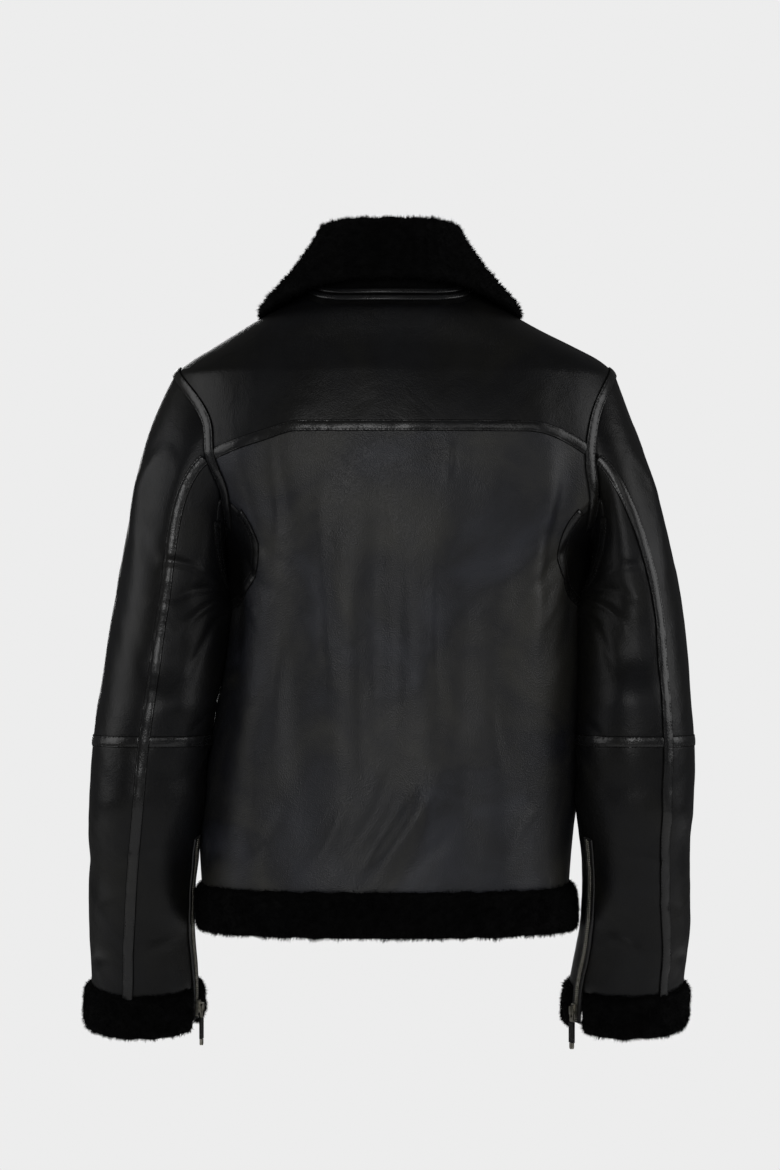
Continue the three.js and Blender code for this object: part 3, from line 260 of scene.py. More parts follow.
SLEEVE_CREASES = {
    LEFT: np.array([
        [150, 0.66, 92, 0.9, 5, -2.4, 6], [158, 0.74, 104, 1.06, 5, 2.2, 7], [165, 0.86, 120, 1.16, 5, -2, 6],
        [140, 0.6, 70, 0.72, 5, 1.8, 5], [200, 1.2, 130, 1.3, 4, -2.2, 5], [215, 1.28, 150, 1.4, 4, 2, 5],
        [230, 1.34, 150, 1.46, 4, -2, 4], [60, 0.2, 30, 0.5, 8, 1.8, 6], [20, 0.3, 5, 0.8, 9, -1.6, 6],
        [120, 1.6, 60, 1.66, 4, 1.4, 4], [100, 1.72, 40, 1.76, 4, -1.4, 4], [130, 1.86, 80, 1.9, 4, 1.6, 4],
        [60, 1.9, 10, 1.94, 4, -1.4, 3], [300, 1.3, 240, 1.36, 4, -2.2, 5], [310, 1.42, 250, 1.38, 4, 2, 5],
        [290, 1.2, 230, 1.28, 4, 2, 4], [210, 0.7, 262, 0.95, 5, -2.2, 6], [205, 0.8, 250, 1.1, 5, 2, 6],
        [300, 1.8, 250, 1.84, 4, 1.6, 4], [330, 1.6, 280, 1.66, 4, -1.4, 4],
    ]),
    RIGHT: np.array([
        [148, 0.68, 88, 0.9, 5, -2.4, 6], [156, 0.76, 100, 1.04, 5, 2.2, 7], [164, 0.88, 116, 1.14, 5, -2, 6],
        [138, 0.62, 74, 0.74, 5, 1.8, 5], [196, 1.22, 128, 1.32, 4, -2.2, 5], [212, 1.3, 146, 1.42, 4, 2, 5],
        [228, 1.36, 148, 1.48, 4, -2, 4], [56, 0.22, 28, 0.52, 8, 1.8, 6], [18, 0.3, 4, 0.8, 9, -1.6, 6],
        [112, 1.62, 56, 1.66, 4, 1.4, 4], [98, 1.74, 36, 1.78, 4, -1.4, 4], [126, 1.84, 78, 1.9, 4, 1.6, 4],
        [52, 1.9, 8, 1.93, 4, -1.4, 3], [302, 1.32, 240, 1.36, 4, -2.2, 5], [312, 1.44, 252, 1.4, 4, 2, 5],
        [288, 1.2, 232, 1.26, 4, 2, 4], [212, 0.72, 264, 0.95, 5, -2.2, 6], [206, 0.82, 250, 1.08, 5, 2, 6],
        [302, 1.78, 252, 1.83, 4, 1.6, 4], [328, 1.62, 284, 1.66, 4, -1.4, 4],
    ]),
}
BODY_TURN_MM, SLEEVE_TURN_MM = 3.0, 1.07  # cloth covered by one degree
HEAD_MM = 250  # length of a sleeve above its first level ring
RIDGE_POWER, TROUGH_POWER = 2, 1.4  # a ridge is softer than a trough


def fold_lift(folds, turn, down):
    """Sum of bell curves. Each falls away with turn and height from its middle, which leans as it goes."""
    lift = np.zeros(np.broadcast(turn, down).shape)
    for middle, at, wide, tall, lean, rise in folds:
        away = down - at
        across = (turn - middle - lean * away + 540) % 360 - 180
        lift += rise * np.exp(-((across / wide) ** 2) - (away / tall) ** 2)
    return lift


def crease_lift(creases, x, y, wrap):
    """Height of the creases at flat places x, y. A crease is a bowed line; beside it the height falls off with
    distance over width, softly on a ridge and more sharply in a trough, and it fades out at both ends."""
    lift = np.zeros(np.broadcast(x, y).shape)
    for ax, ay, bx, by, wide, rise, bow in creases:
        px = (x - ax + wrap / 2) % wrap - wrap / 2
        py = y - ay
        qx, qy = bx - ax, by - ay
        length = math.hypot(qx, qy)
        t = np.clip((px * qx + py * qy) / length**2, 0, 1)
        bowed = bow * 4 * t * (1 - t)
        away = np.hypot(px - t * qx + bowed * qy / length, py - t * qy - bowed * qx / length)
        fade = 1 - np.abs(2 * t - 1) ** 3
        lift += rise * fade * np.exp(-((away / wide) ** (RIDGE_POWER if rise > 0 else TROUGH_POWER)))
    return lift


def in_flat_mm(creases, turn_mm, down_mm):
    """The same creases with their ends given as millimetres across and down the cloth."""
    flat = creases.astype(float)
    flat[:, [0, 2]] *= turn_mm
    flat[:, 1], flat[:, 3] = down_mm(flat[:, 1]), down_mm(flat[:, 3])
    return flat


def sleeve_down_mm(along):
    """Millimetres down a sleeve: negative above its first level ring."""
    along = np.asarray(along, float)
    return np.where(along < 1, (along - 1) * HEAD_MM, (along - 1) * SLEEVE_DROP)


BODY_FLAT = in_flat_mm(BODY_CREASES, BODY_TURN_MM, lambda z: z)
SLEEVE_FLAT = {side: in_flat_mm(rows, SLEEVE_TURN_MM, sleeve_down_mm) for side, rows in SLEEVE_CREASES.items()}


def ripple(x, y, seed):
    """Slow unevenness of soft leather: a sum of six waves in different directions, between about -1 and 1."""
    rng = np.random.default_rng(seed)
    total = 0
    for long in (95, 71, 52, 40, 31, 24):
        heading, phase = rng.uniform(0, np.pi), rng.uniform(0, 2 * np.pi)
        total = total + long * np.sin((x * np.cos(heading) + y * np.sin(heading)) * 2 * np.pi / long + phase)
    return total / 200


print(len(BODY_CREASES) + sum(len(rows) for rows in SLEEVE_CREASES.values()), "creases")

# %% [markdown]
# Now the two rules themselves. Across the body the outline at each height is a rounded oval: the share of
# the half-width and the share of the depth, each raised to a power a little above two, add up to one. A
# sleeve is a stack of ovals; above the first one, every line sets off from the armhole and bends down into
# the sleeve.

# %% The surfaces of body and sleeve
BODY_RIPPLE, SLEEVE_RIPPLE = 0.55, 0.5
BODY_RIPPLE_SEED, SLEEVE_RIPPLE_SEED = 11, 23
CALM_FROM_Z, CALM_OVER = -60, 60  # the leather is smooth above this height, where the collar holds it


def body(turn, z):
    """Outer surface of the body. Turn is 0 at the middle of the back and 90 at the left side as worn. The
    radius is that of the rounded oval at the height z, and folds, creases and ripples are added to it."""
    turn, z = np.broadcast_arrays(np.asarray(turn, float), np.asarray(z, float))
    left, right, back, front, square = BODY(z)
    s, c = np.sin(np.radians(turn)), np.cos(np.radians(turn))
    half, deep = np.where(s >= 0, left, right), np.where(c >= 0, back, front)
    radius = (np.abs(s / half) ** square + np.abs(c / deep) ** square) ** (-1 / square)
    across = turn * BODY_TURN_MM
    radius = radius + fold_lift(BODY_FOLDS, turn, z)
    radius = radius + crease_lift(BODY_FLAT, across, z, 360 * BODY_TURN_MM)
    lively = np.clip((CALM_FROM_Z - z) / CALM_OVER, 0, 1)
    radius = radius + BODY_RIPPLE * lively * ripple(radius * s, z + radius * c, BODY_RIPPLE_SEED)
    return np.stack([radius * s, radius * c, z], -1)


ARMHOLE_MIDDLE, ARMHOLE_HALF = -178.5, 86.5
ARMHOLE_BACK, ARMHOLE_FRONT = 74, 70


def body_turn(side, y, z):
    """Turn at which the body at a height is a given depth behind or in front, on one side."""
    left, right, back, front, square = BODY(z)
    half, deep = (left if side == LEFT else right), np.where(y >= 0, back, front)
    x = half * (1 - np.abs(y / deep) ** square) ** (1 / square)
    return np.degrees(np.arctan2(x, y))


def armhole(side, turn):
    """Place of the armhole on the body: an oval seen from the side, from its top by the back to the armpit."""
    s, c = np.sin(np.radians(turn)), np.cos(np.radians(turn))
    z = ARMHOLE_MIDDLE + ARMHOLE_HALF * c
    return body_turn(side, np.where(s >= 0, ARMHOLE_BACK, ARMHOLE_FRONT) * s, z), z


def sleeve_ring(side, turn, z):
    """Oval ring of a sleeve at a height, a little lower at the back where it tilts."""
    out, half, middle, deep, tilt = SLEEVE[side](z)
    s, c = np.sin(np.radians(turn)), np.cos(np.radians(turn))
    return np.stack([side * (out + half * c), middle + deep * s, z - tilt * deep * s], -1)


def sleeve(side, turn, along):
    """Outer surface of a sleeve. Along is 0 at the armhole, 1 at the first level ring and 2 at the cuff seam.
    The head is a cubic curve from the armhole to the first ring; below it every height has its own ring."""
    turn, along = np.broadcast_arrays(np.asarray(turn, float), np.asarray(along, float))
    ring = sleeve_ring(side, turn, SLEEVE_TOP_Z - np.maximum(along - 1, 0) * SLEEVE_DROP)
    top, middle, bottom, flare = SLEEVE_HEAD[side]
    place, height = armhole(side, turn)
    start = body(side * place, height)
    end = sleeve_ring(side, turn, np.full(turn.shape, float(SLEEVE_TOP_Z)))
    reach = np.linalg.norm(end - start, axis=-1)[..., None]
    s, c = np.sin(np.radians(turn)), np.cos(np.radians(turn))
    out = middle + (top - bottom) / 2 * c + ((top + bottom) / 2 - middle) * c * c
    first = np.stack([side * out, 0.1 * s, -0.6 - 0.3 * c * c], -1) * reach
    last = np.array([side * flare, 0.22, -1]) * reach
    head = hermite(start, first, end, last, np.minimum(along, 1)[..., None])
    point = np.where((along >= 1)[..., None], ring, head)
    fade = np.clip(along * 4, 0, 1)
    across, down = turn * SLEEVE_TURN_MM, sleeve_down_mm(along)
    rise = fold_lift(SLEEVE_FOLDS[side], turn, along)
    rise = rise + crease_lift(SLEEVE_FLAT[side], across, down, 360 * SLEEVE_TURN_MM)
    slow = ripple(point[..., 0] * side, point[..., 2] + point[..., 1], SLEEVE_RIPPLE_SEED + side)
    rise = rise + SLEEVE_RIPPLE * slow
    axis_out, _, axis_y, _, _ = SLEEVE[side](point[..., 2])
    away = np.stack([point[..., 0] - side * axis_out, point[..., 1] - axis_y, 0 * turn], -1)
    away = away / np.maximum(np.linalg.norm(away, axis=-1), 1e-6)[..., None]
    return point + (rise * fade)[..., None] * away


def surface_frame(surface, u, v, du, dv, sign):
    """Point, slopes along both parameters and outward normal, from small steps to either side."""
    along_u = (surface(u + du, v) - surface(u - du, v)) / (2 * du)
    along_v = (surface(u, v + dv) - surface(u, v - dv)) / (2 * dv)
    normal = sign * np.cross(along_u, along_v)
    normal = normal / np.linalg.norm(normal, axis=-1)[..., None]
    return surface(u, v), along_u, along_v, normal


def body_frame(turn, z):
    """The frame of the body's surface at turns and heights."""
    return surface_frame(body, turn, z, 0.2, 0.5, -1)


def sleeve_frame(side):
    """The frame of one sleeve as a function of turn and along."""
    step = 0.004

    def frame_of(turn, along):
        near = np.maximum(along, step)
        found = surface_frame(lambda u, v: sleeve(side, u, v), turn, near, 0.4, step, -side)
        return (sleeve(side, turn, along), *found[1:])

    return frame_of


print("a point on the back:", body(0, -300).round(1), "and on the left sleeve:", sleeve(LEFT, 0, 1.5).round(1))

# %% [markdown]
# Leather is painted with nodes. A base of near-black is mottled with a little blue-grey and olive, because
# a worn finish lets its ground show through. A cell pattern about a millimetre wide makes the pebble grain,
# slower noise makes fine wrinkles, and a varied roughness breaks the highlight up. Nothing here is a
# picture.

# %% Materials
def look(name, colour, roughness, metallic=0.0):
    """A new material with one shader, and short ways to its nodes."""
    made = bpy.data.materials.new(name)
    made.use_nodes = True
    tree = made.node_tree
    shader = tree.nodes["Principled BSDF"]
    shader.inputs["Base Color"].default_value = (*colour, 1)
    shader.inputs["Roughness"].default_value = roughness
    shader.inputs["Metallic"].default_value = metallic
    return made, tree, shader


def noise_on(tree, scale, detail=3.0, distortion=0.0):
    """Noise in the object's own coordinates, which are metres here."""
    place = tree.nodes.new("ShaderNodeTexCoord")
    noise = tree.nodes.new("ShaderNodeTexNoise")
    noise.inputs["Scale"].default_value = scale
    noise.inputs["Detail"].default_value = detail
    noise.inputs["Distortion"].default_value = distortion
    tree.links.new(place.outputs["Object"], noise.inputs["Vector"])
    return noise.outputs["Fac"]


def cells_on(tree, scale):
    """Distance from the middle of the nearest cell, for pebbled grain."""
    place = tree.nodes.new("ShaderNodeTexCoord")
    cells = tree.nodes.new("ShaderNodeTexVoronoi")
    cells.inputs["Scale"].default_value = scale
    tree.links.new(place.outputs["Object"], cells.inputs["Vector"])
    return cells.outputs["Distance"]


def ramp(tree, value, stops):
    """Colours along a value from 0 to 1."""
    made = tree.nodes.new("ShaderNodeValToRGB")
    made.color_ramp.elements[0].position, made.color_ramp.elements[0].color = stops[0][0], (*stops[0][1], 1)
    made.color_ramp.elements[1].position, made.color_ramp.elements[1].color = stops[-1][0], (*stops[-1][1], 1)
    for at, colour in stops[1:-1]:
        made.color_ramp.elements.new(at).color = (*colour, 1)
    tree.links.new(value, made.inputs["Fac"])
    return made.outputs["Color"]


def between(tree, value, low, high):
    """A value from 0 to 1 spread from low to high."""
    made = tree.nodes.new("ShaderNodeMapRange")
    made.inputs["To Min"].default_value = low
    made.inputs["To Max"].default_value = high
    tree.links.new(value, made.inputs["Value"])
    return made.outputs["Result"]


def bumps(tree, shader, layers):
    """Layers of relief, each a height, a strength and a depth in metres, one on top of another."""
    below = None
    for height, strength, depth in layers:
        bump = tree.nodes.new("ShaderNodeBump")
        bump.inputs["Strength"].default_value = strength
        bump.inputs["Distance"].default_value = depth
        tree.links.new(height, bump.inputs["Height"])
        if below is not None:
            tree.links.new(below, bump.inputs["Normal"])
        below = bump.outputs["Normal"]
    tree.links.new(below, shader.inputs["Normal"])


def leather_look(name, stops, rough, grain, shine=0.5):
    """Leather with mottled colour, pebble grain, fine wrinkles and a broken highlight."""
    made, tree, shader = look(name, stops[1][1], rough[0])
    shader.inputs["Specular IOR Level"].default_value = shine
    mottle = noise_on(tree, 9, 6, 0.8)
    tree.links.new(ramp(tree, mottle, stops), shader.inputs["Base Color"])
    tree.links.new(between(tree, noise_on(tree, 30, 4, 0.3), *rough), shader.inputs["Roughness"])
    bumps(tree, shader, [
        (noise_on(tree, 26, 3, 0.8), 0.5, 0.0016),
        (noise_on(tree, 150, 4, 1.2), 0.3, 0.0005),
        (cells_on(tree, 760), grain, 0.00035),
    ])
    return made


def two_tones(name, colour, roughness, noise, dark, light, shine=0.5, metallic=0.0):
    """A finish whose colour wavers between two tones, each given with its place on the noise."""
    made, tree, shader = look(name, colour, roughness, metallic)
    shader.inputs["Specular IOR Level"].default_value = shine
    tree.links.new(ramp(tree, noise_on(tree, *noise), [dark, light]), shader.inputs["Base Color"])
    return made, tree, shader


leather = leather_look(
    "leather", [(0.3, (0.007, 0.0075, 0.009)), (0.5, (0.005, 0.005, 0.0055)), (0.7, (0.009, 0.0088, 0.0075))],
    rough=(0.3, 0.46), grain=0.35, shine=0.3)
worn_leather = leather_look(
    "worn_leather",
    [(0.32, (0.028, 0.03, 0.039)), (0.48, (0.014, 0.0145, 0.0175)), (0.66, (0.036, 0.035, 0.031))],
    rough=(0.3, 0.52), grain=0.7)
strap_leather = leather_look(
    "strap_leather",
    [(0.3, (0.008, 0.0085, 0.01)), (0.5, (0.007, 0.007, 0.0075)), (0.7, (0.011, 0.0105, 0.009))],
    rough=(0.2, 0.36), grain=0.25, shine=0.6)

# A matt near-black for the edges of straps: their edge ink, and painted shade standing for the shadow in the
# groove along each edge.
edge_ink_and_shade, _, _ = two_tones("edge_ink_and_shade", (0.002, 0.002, 0.002), 0.8, (200,),
                           (0.3, (0.001, 0.001, 0.001)), (0.7, (0.004, 0.004, 0.004)), shine=0.15)
fur, _, _ = two_tones("fur", (0.0015, 0.0015, 0.0016), 0.9, (120, 3),
                      (0.35, (0.0006, 0.0006, 0.0007)), (0.7, (0.0028, 0.0028, 0.003)), shine=0.12)
lining, lining_tree, lining_shader = two_tones(
    "lining", (0.006, 0.006, 0.0065), 0.95, (90, 4),
    (0.35, (0.0015, 0.0015, 0.0017)), (0.7, (0.005, 0.005, 0.0055)), shine=0.15)
bumps(lining_tree, lining_shader, [(noise_on(lining_tree, 60, 2), 1, 0.006),
                                   (noise_on(lining_tree, 420, 4, 1.5), 1, 0.003)])

WEAVE_SCALE = 420
tape, tape_tree, tape_shader = look("tape", (0.012, 0.012, 0.012), 0.8)
weave = tape_tree.nodes.new("ShaderNodeTexWave")
weave.inputs["Scale"].default_value = WEAVE_SCALE
tape_place = tape_tree.nodes.new("ShaderNodeTexCoord")
tape_tree.links.new(tape_place.outputs["Object"], weave.inputs["Vector"])
bumps(tape_tree, tape_shader, [(weave.outputs["Fac"], 0.6, 0.0003)])
tape_tree.links.new(ramp(tape_tree, weave.outputs["Fac"], [(0.2, (0.006, 0.006, 0.006)),
                                                           (0.8, (0.02, 0.02, 0.019))]),
                    tape_shader.inputs["Base Color"])

thread, _, _ = two_tones("thread", (0.01, 0.01, 0.01), 0.6, (600,),
                         (0.3, (0.006, 0.006, 0.006)), (0.7, (0.018, 0.018, 0.018)))
metal, metal_tree, metal_shader = two_tones("metal", (0.36, 0.35, 0.31), 0.36, (300, 4),
                                            (0.3, (0.3, 0.285, 0.22)), (0.65, (0.62, 0.6, 0.54)), metallic=1.0)
metal_wear = between(metal_tree, noise_on(metal_tree, 500), 0.28, 0.5)
metal_tree.links.new(metal_wear, metal_shader.inputs["Roughness"])
print(len(bpy.data.materials), "materials in the file")

# %% [markdown]
# Every piece is a grid of points joined by quads. One helper makes the mesh, ties the piece to its body and
# hides the solid that it stands for. Another makes a leather panel: it turns the grid's faces away from
# the inside, rolls the edges in at the seams, and gives the piece its thickness, whose inner face is the
# wool side.

# %% Meshes from grids
def grid_faces(rows, columns, round_columns=False):
    """Quads between neighbouring points of a grid, closed round its columns if asked."""
    i, j = np.meshgrid(np.arange(rows - 1), np.arange(columns if round_columns else columns - 1), indexing="ij")
    here, below, k = i * columns, (i + 1) * columns, (j + 1) % columns
    return np.stack([here + j, here + k, below + k, below + j], -1).reshape(-1, 4)


def grid_normals(points):
    """Unit normals of a grid from the steps to its neighbours in both directions."""
    normal = np.cross(np.gradient(points, axis=1), np.gradient(points, axis=0))
    return normal / np.maximum(np.linalg.norm(normal, axis=-1), 1e-9)[..., None]


def mesh_piece(name, points, faces, material, nodes=()):
    """A piece from points in millimetres and faces; it rides on the jacket and stands for the named solids."""
    data = bpy.data.meshes.new(name)
    data.from_pydata(np.asarray(points, float).reshape(-1, 3) / 1000, [], faces)
    data.shade_smooth()
    data.materials.append(material)
    piece = bpy.data.objects.new(name, data)
    scene.collection.objects.link(piece)
    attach(piece, "jacket")
    if nodes:
        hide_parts(*nodes)
    return piece


def cell_areas(points):
    """Area of each cell of a grid, as the product of its two sides square to each other."""
    return np.linalg.norm(np.cross(np.diff(points, axis=0)[:, :-1], np.diff(points, axis=1)[:-1]), axis=-1)


def edge_distance(points):
    """Distance of each point of a grid from the nearest of its four edges, along the rows and columns."""
    down = np.linalg.norm(np.diff(points, axis=0), axis=-1)
    along = np.linalg.norm(np.diff(points, axis=1), axis=-1)
    down = np.vstack([np.zeros((1, points.shape[1])), np.cumsum(down, 0)])
    along = np.hstack([np.zeros((points.shape[0], 1)), np.cumsum(along, 1)])
    return np.minimum(np.minimum(down, down[-1] - down), np.minimum(along, along[:, -1:] - along))


def close_to_ends(count, ends=(0.6, 2, 4.5), length=400):
    """Shares from 0 to 1, even in the middle and packed close near both ends, where a seam turns in."""
    near = np.array([0, *ends]) / length
    return np.concatenate([near[:-1], np.linspace(near[-1], 1 - near[-1], count), 1 - near[-2::-1]])


SEAM_DEPTH, SEAM_REACH = 1.1, 2.2  # how deep an edge rolls in at a seam, and over what distance


def panel(name, points, inside, node, thickness=WALL, finish=leather):
    """A leather panel from a grid of outer points: its edges turn in at the seams, and it gets a wool side."""
    normal = grid_normals(points)
    if np.mean(np.sum(normal * (points - inside), -1)) < 0:
        points, normal = points[:, ::-1], -normal[:, ::-1]
    turned = SEAM_DEPTH * np.exp(-((edge_distance(points) / SEAM_REACH) ** 2))
    points = points - turned[..., None] * normal
    piece = mesh_piece(name, points, grid_faces(*points.shape[:2]).tolist(), finish, nodes=[node])
    piece.data.materials.append(lining)
    shell = piece.modifiers.new("thickness", "SOLIDIFY")
    shell.thickness = thickness / 1000
    shell.offset = -1
    shell.material_offset = 1
    shell.material_offset_rim = 0


# %% [markdown]
# The back is one panel below a yoke. Its side edge runs straight up from the hem, round the gusset under
# the arm and up the armhole, and its top edge is the yoke seam, which dips towards the arms. Each row of
# the grid goes from one side edge to the other, so the panels on both sides of a seam share the same line.

# %% Lines on the body
YOKE_Z, SHOULDER_Z = -147, -92
ROUND_COLUMNS = 28  # one round of a sleeve, counted from its seam
GUSSET_FIRST, GUSSET_MIDDLE, GUSSET_HALF = 2, 7, 5  # in those columns
GUSSET_TURN = 90 + GUSSET_FIRST * 360 / ROUND_COLUMNS
GUSSET_Z, GUSSET_CURVE_Z = -330, -250
GUSSET_LOW = {LEFT: (60, 50), RIGHT: (70, 62)}
YOKE_DROP = {LEFT: (40, 1.3), RIGHT: (52, 2)}
NECK_BACK, NECK_FRONT, NECK_LEVEL = -22, -80, 7
FRONT_HALF = 7.6


def yoke_line(turn):
    """Height of the yoke seam: level in the middle, then dropping by a power curve to each armhole."""
    turn = np.asarray(turn, float)
    height = np.full(turn.shape, float(YOKE_Z))
    for side in (LEFT, RIGHT):
        start, power = YOKE_DROP[side]
        end_turn, end_z = armhole(side, 90.0)
        f = np.clip((side * turn - start) / (end_turn - start), 0, 1)
        height = height + (end_z - YOKE_Z) * f**power
    return height


def neck_line(turn):
    """Height of the neck seam: level behind, up on the shoulders, and lowest at the front zip."""
    s, c = np.sin(np.radians(turn)), np.cos(np.radians(turn))
    return np.where(c >= 0, NECK_BACK * (1 - np.abs(s) ** NECK_LEVEL), NECK_FRONT * c * c)


def gusset_edge(side, f, front):
    """Edge of the gusset on the body, a curve of four points from its lowest place up to its tip."""
    low, high = GUSSET_LOW[side]
    tip_turn, tip_z = armhole(side, 360 - GUSSET_TURN if front else GUSSET_TURN)
    points = [90, 180 - low if front else low, 180 - high if front else high, tip_turn]
    heights = [GUSSET_Z, GUSSET_Z, GUSSET_CURVE_Z, tip_z]
    weights = [(1 - f) ** 3, 3 * (1 - f) ** 2 * f, 3 * (1 - f) * f**2, f**3]
    return sum(w * p for w, p in zip(weights, points)), sum(w * h for w, h in zip(weights, heights))


LOW_ROWS, GUSSET_ROWS = 68, 26


def side_edge(side, front, stop, armhole_rows=20):
    """Turns and heights up a panel's side edge, and how many of them lie below the gusset."""
    low = np.linspace(HEM_Z, GUSSET_Z, LOW_ROWS + 1)[:-1]
    low = np.concatenate([[low[0], low[0] + 0.6, low[0] + 2], low[1:]])
    edge_turn, edge_z = gusset_edge(side, np.linspace(0, 1, GUSSET_ROWS + 1)[:-1], front)
    turns_round = np.linspace(GUSSET_TURN, stop, armhole_rows + 1)
    hole_turn, hole_z = armhole(side, 360 - turns_round if front else turns_round)
    return np.concatenate([90 + 0 * low, edge_turn, hole_turn]), np.concatenate([low, edge_z, hole_z]), len(low)


def shares(turn, z, first):
    """Share of the way along an edge from its row first to its last, by length."""
    steps = np.hypot(np.diff(turn) * BODY_TURN_MM, np.diff(z))[first:]
    total = np.concatenate([[0], np.cumsum(steps)])
    return total / total[-1]


BACK_WIDTH = 560


def across_back(edges, bottom, top, first, columns):
    """Grid of turns and heights between two side edges. Near the edges a row keeps the edge's own height, and
    towards the middle it goes over to an even share of the way from the bottom line to the top line."""
    s = 2 * close_to_ends(columns, length=BACK_WIDTH) - 1
    f = np.abs(s)
    rows = len(edges[LEFT][0])
    turn, z = np.zeros((rows, len(s))), np.zeros((rows, len(s)))
    for side in (LEFT, RIGHT):
        edge_turn, edge_z = edges[side]
        part = (s >= 0) if side == LEFT else (s < 0)
        turn[:, part] = side * f[part] * edge_turn[:, None]
        low_z = bottom(side * f[part] * edge_turn[first])
        high_z = top(side * f[part] * edge_turn[-1])
        by_length = shares(edge_turn, edge_z, first)[:, None]
        by_height = ((edge_z[first:] - edge_z[first]) / (edge_z[-1] - edge_z[first]))[:, None]
        share = by_length + (by_height - by_length) * f[part] ** 3
        z[first:, part] = low_z + (high_z - low_z) * share
        z[:first, part] = edge_z[:first, None]
    return turn, z


def gusset_level(turn):
    """The height of the gusset's lowest place, as a line round the body."""
    return np.full(np.shape(turn), float(GUSSET_Z))


print("yoke seam, mm:", YOKE_Z, "in the middle and", round(float(armhole(LEFT, 90.0)[1]), 1), "at the armhole")

# %% [markdown]
# The back panel is one whole piece, with no seam down the spine, and the yoke above it reaches over the
# shoulders to the neck. The back has the most worn finish of the jacket, so it has a leather of its own,
# and the yoke is cut from the plain one. A maker would sew the two along the yoke seam first and set the
# sleeves afterwards.

# %% Back panel and yoke
BACK_COLUMNS = 110


def axis_of(points):
    """Points on the upright axis at the same heights, which are inside the body."""
    return points * np.array([0, 0, 1.0])


back_edges = {side: side_edge(side, False, 90) for side in (LEFT, RIGHT)}
first_row = back_edges[LEFT][2]
side_lines = {side: edge[:2] for side, edge in back_edges.items()}
turn, z = across_back(side_lines, gusset_level, yoke_line, first_row, BACK_COLUMNS)
back_points = body(turn, z)
panel("back_leather", back_points, axis_of(back_points), "back_panel", finish=worn_leather)


def yoke_edge(side):
    """From the end of the yoke seam up the armhole and along the shoulder to the neck."""
    hole_turn, hole_z = armhole(side, np.linspace(90, 0, 31))
    shoulder = np.linspace(SHOULDER_Z, 0, 25)[1:]
    return np.concatenate([hole_turn, 90 + 0 * shoulder]), np.concatenate([hole_z, shoulder])


turn, z = across_back({side: yoke_edge(side) for side in (LEFT, RIGHT)}, yoke_line, neck_line, 0, BACK_COLUMNS)
yoke_points = body(turn, z)
panel("yoke_leather", yoke_points, axis_of(yoke_points), "back_yoke")

# %% [markdown]
# Each front is cut as the back is, with one side edge at the side seam, gusset and armhole, and the other
# edge straight down beside the zip. Its rows start at the hem and end at the neck.

# %% Fronts
FRONT_COLUMNS, FRONT_WIDTH = 54, 280


def opening_turn(z):
    """Turn of the edge beside the front zip, which keeps its distance from the middle."""
    return 180 - np.degrees(np.arcsin(FRONT_HALF / BODY(z)[3]))


for side_name, side in SIDES.items():
    edge_turn, edge_z, first = side_edge(side, True, 0, armhole_rows=44)
    shoulder = np.linspace(SHOULDER_Z, 0, 19)[1:]
    edge_turn = np.concatenate([edge_turn, 90 + 0 * shoulder])
    edge_z = np.concatenate([edge_z, shoulder])
    f = close_to_ends(FRONT_COLUMNS, length=FRONT_WIDTH)[None, :]
    by_length = np.concatenate([np.zeros(first), shares(edge_turn, edge_z, first)])[:, None]
    by_height = ((edge_z - GUSSET_Z) / (0 - GUSSET_Z))[:, None]
    share = by_height + (by_length - by_height) * (1 - (1 - f) ** 3)
    top_z = neck_line(90 + (opening_turn(NECK_FRONT) - 90) * f)
    is_low = np.arange(len(edge_z))[:, None] < first
    z = np.where(is_low, edge_z[:, None], GUSSET_Z + (top_z - GUSSET_Z) * share)
    turn = side * (edge_turn[:, None] + (opening_turn(z) - edge_turn[:, None]) * f)
    front_points = body(turn, z)
    panel(f"front_leather_{side_name}", front_points, axis_of(front_points), f"front_{side_name}")

# %% [markdown]
# A sleeve is two tubes, joined at a strap above the elbow. Each tube is rolled from one piece, with its
# seam under the long strap. Below the arm a small gusset is let in, folded along the armhole: half of it
# belongs to the body and half to the sleeve, so the arm can lift without pulling the jacket up.

# %% Sleeves and gussets
GUSSET_REACH, GUSSET_ARCH = 0.6, 0.85  # how far down the sleeve's head it comes, and how full its arch is
GUSSET_WALL = 2.8
SLEEVE_COLUMNS, SLEEVE_ROUND_MM = 112, 380
ARMPIT_Z = -180
HEAD_START = [-0.03, -0.02, -0.008]  # a sleeve starts just inside the armhole, so that no slit shows


def sleeve_turn(side, column, along):
    """Turn of a column that is counted from the sleeve's seam."""
    return SLEEVE_SEAM[side](along)[0] + column * 360 / ROUND_COLUMNS


def gusset_along(column):
    """How far down the sleeve's head the gusset reaches at a column: a rounded arch between its two tips."""
    f = np.clip((column - GUSSET_FIRST) / (2 * GUSSET_HALF), 0, 1)
    return GUSSET_REACH * np.sin(np.pi * f) ** GUSSET_ARCH


def sleeve_axis(side, points):
    """Points on a sleeve's middle line at the same heights, which are inside the sleeve."""
    out, _, middle, _, _ = SLEEVE[side](points[..., 2])
    return np.stack([side * out, middle, points[..., 2]], -1)


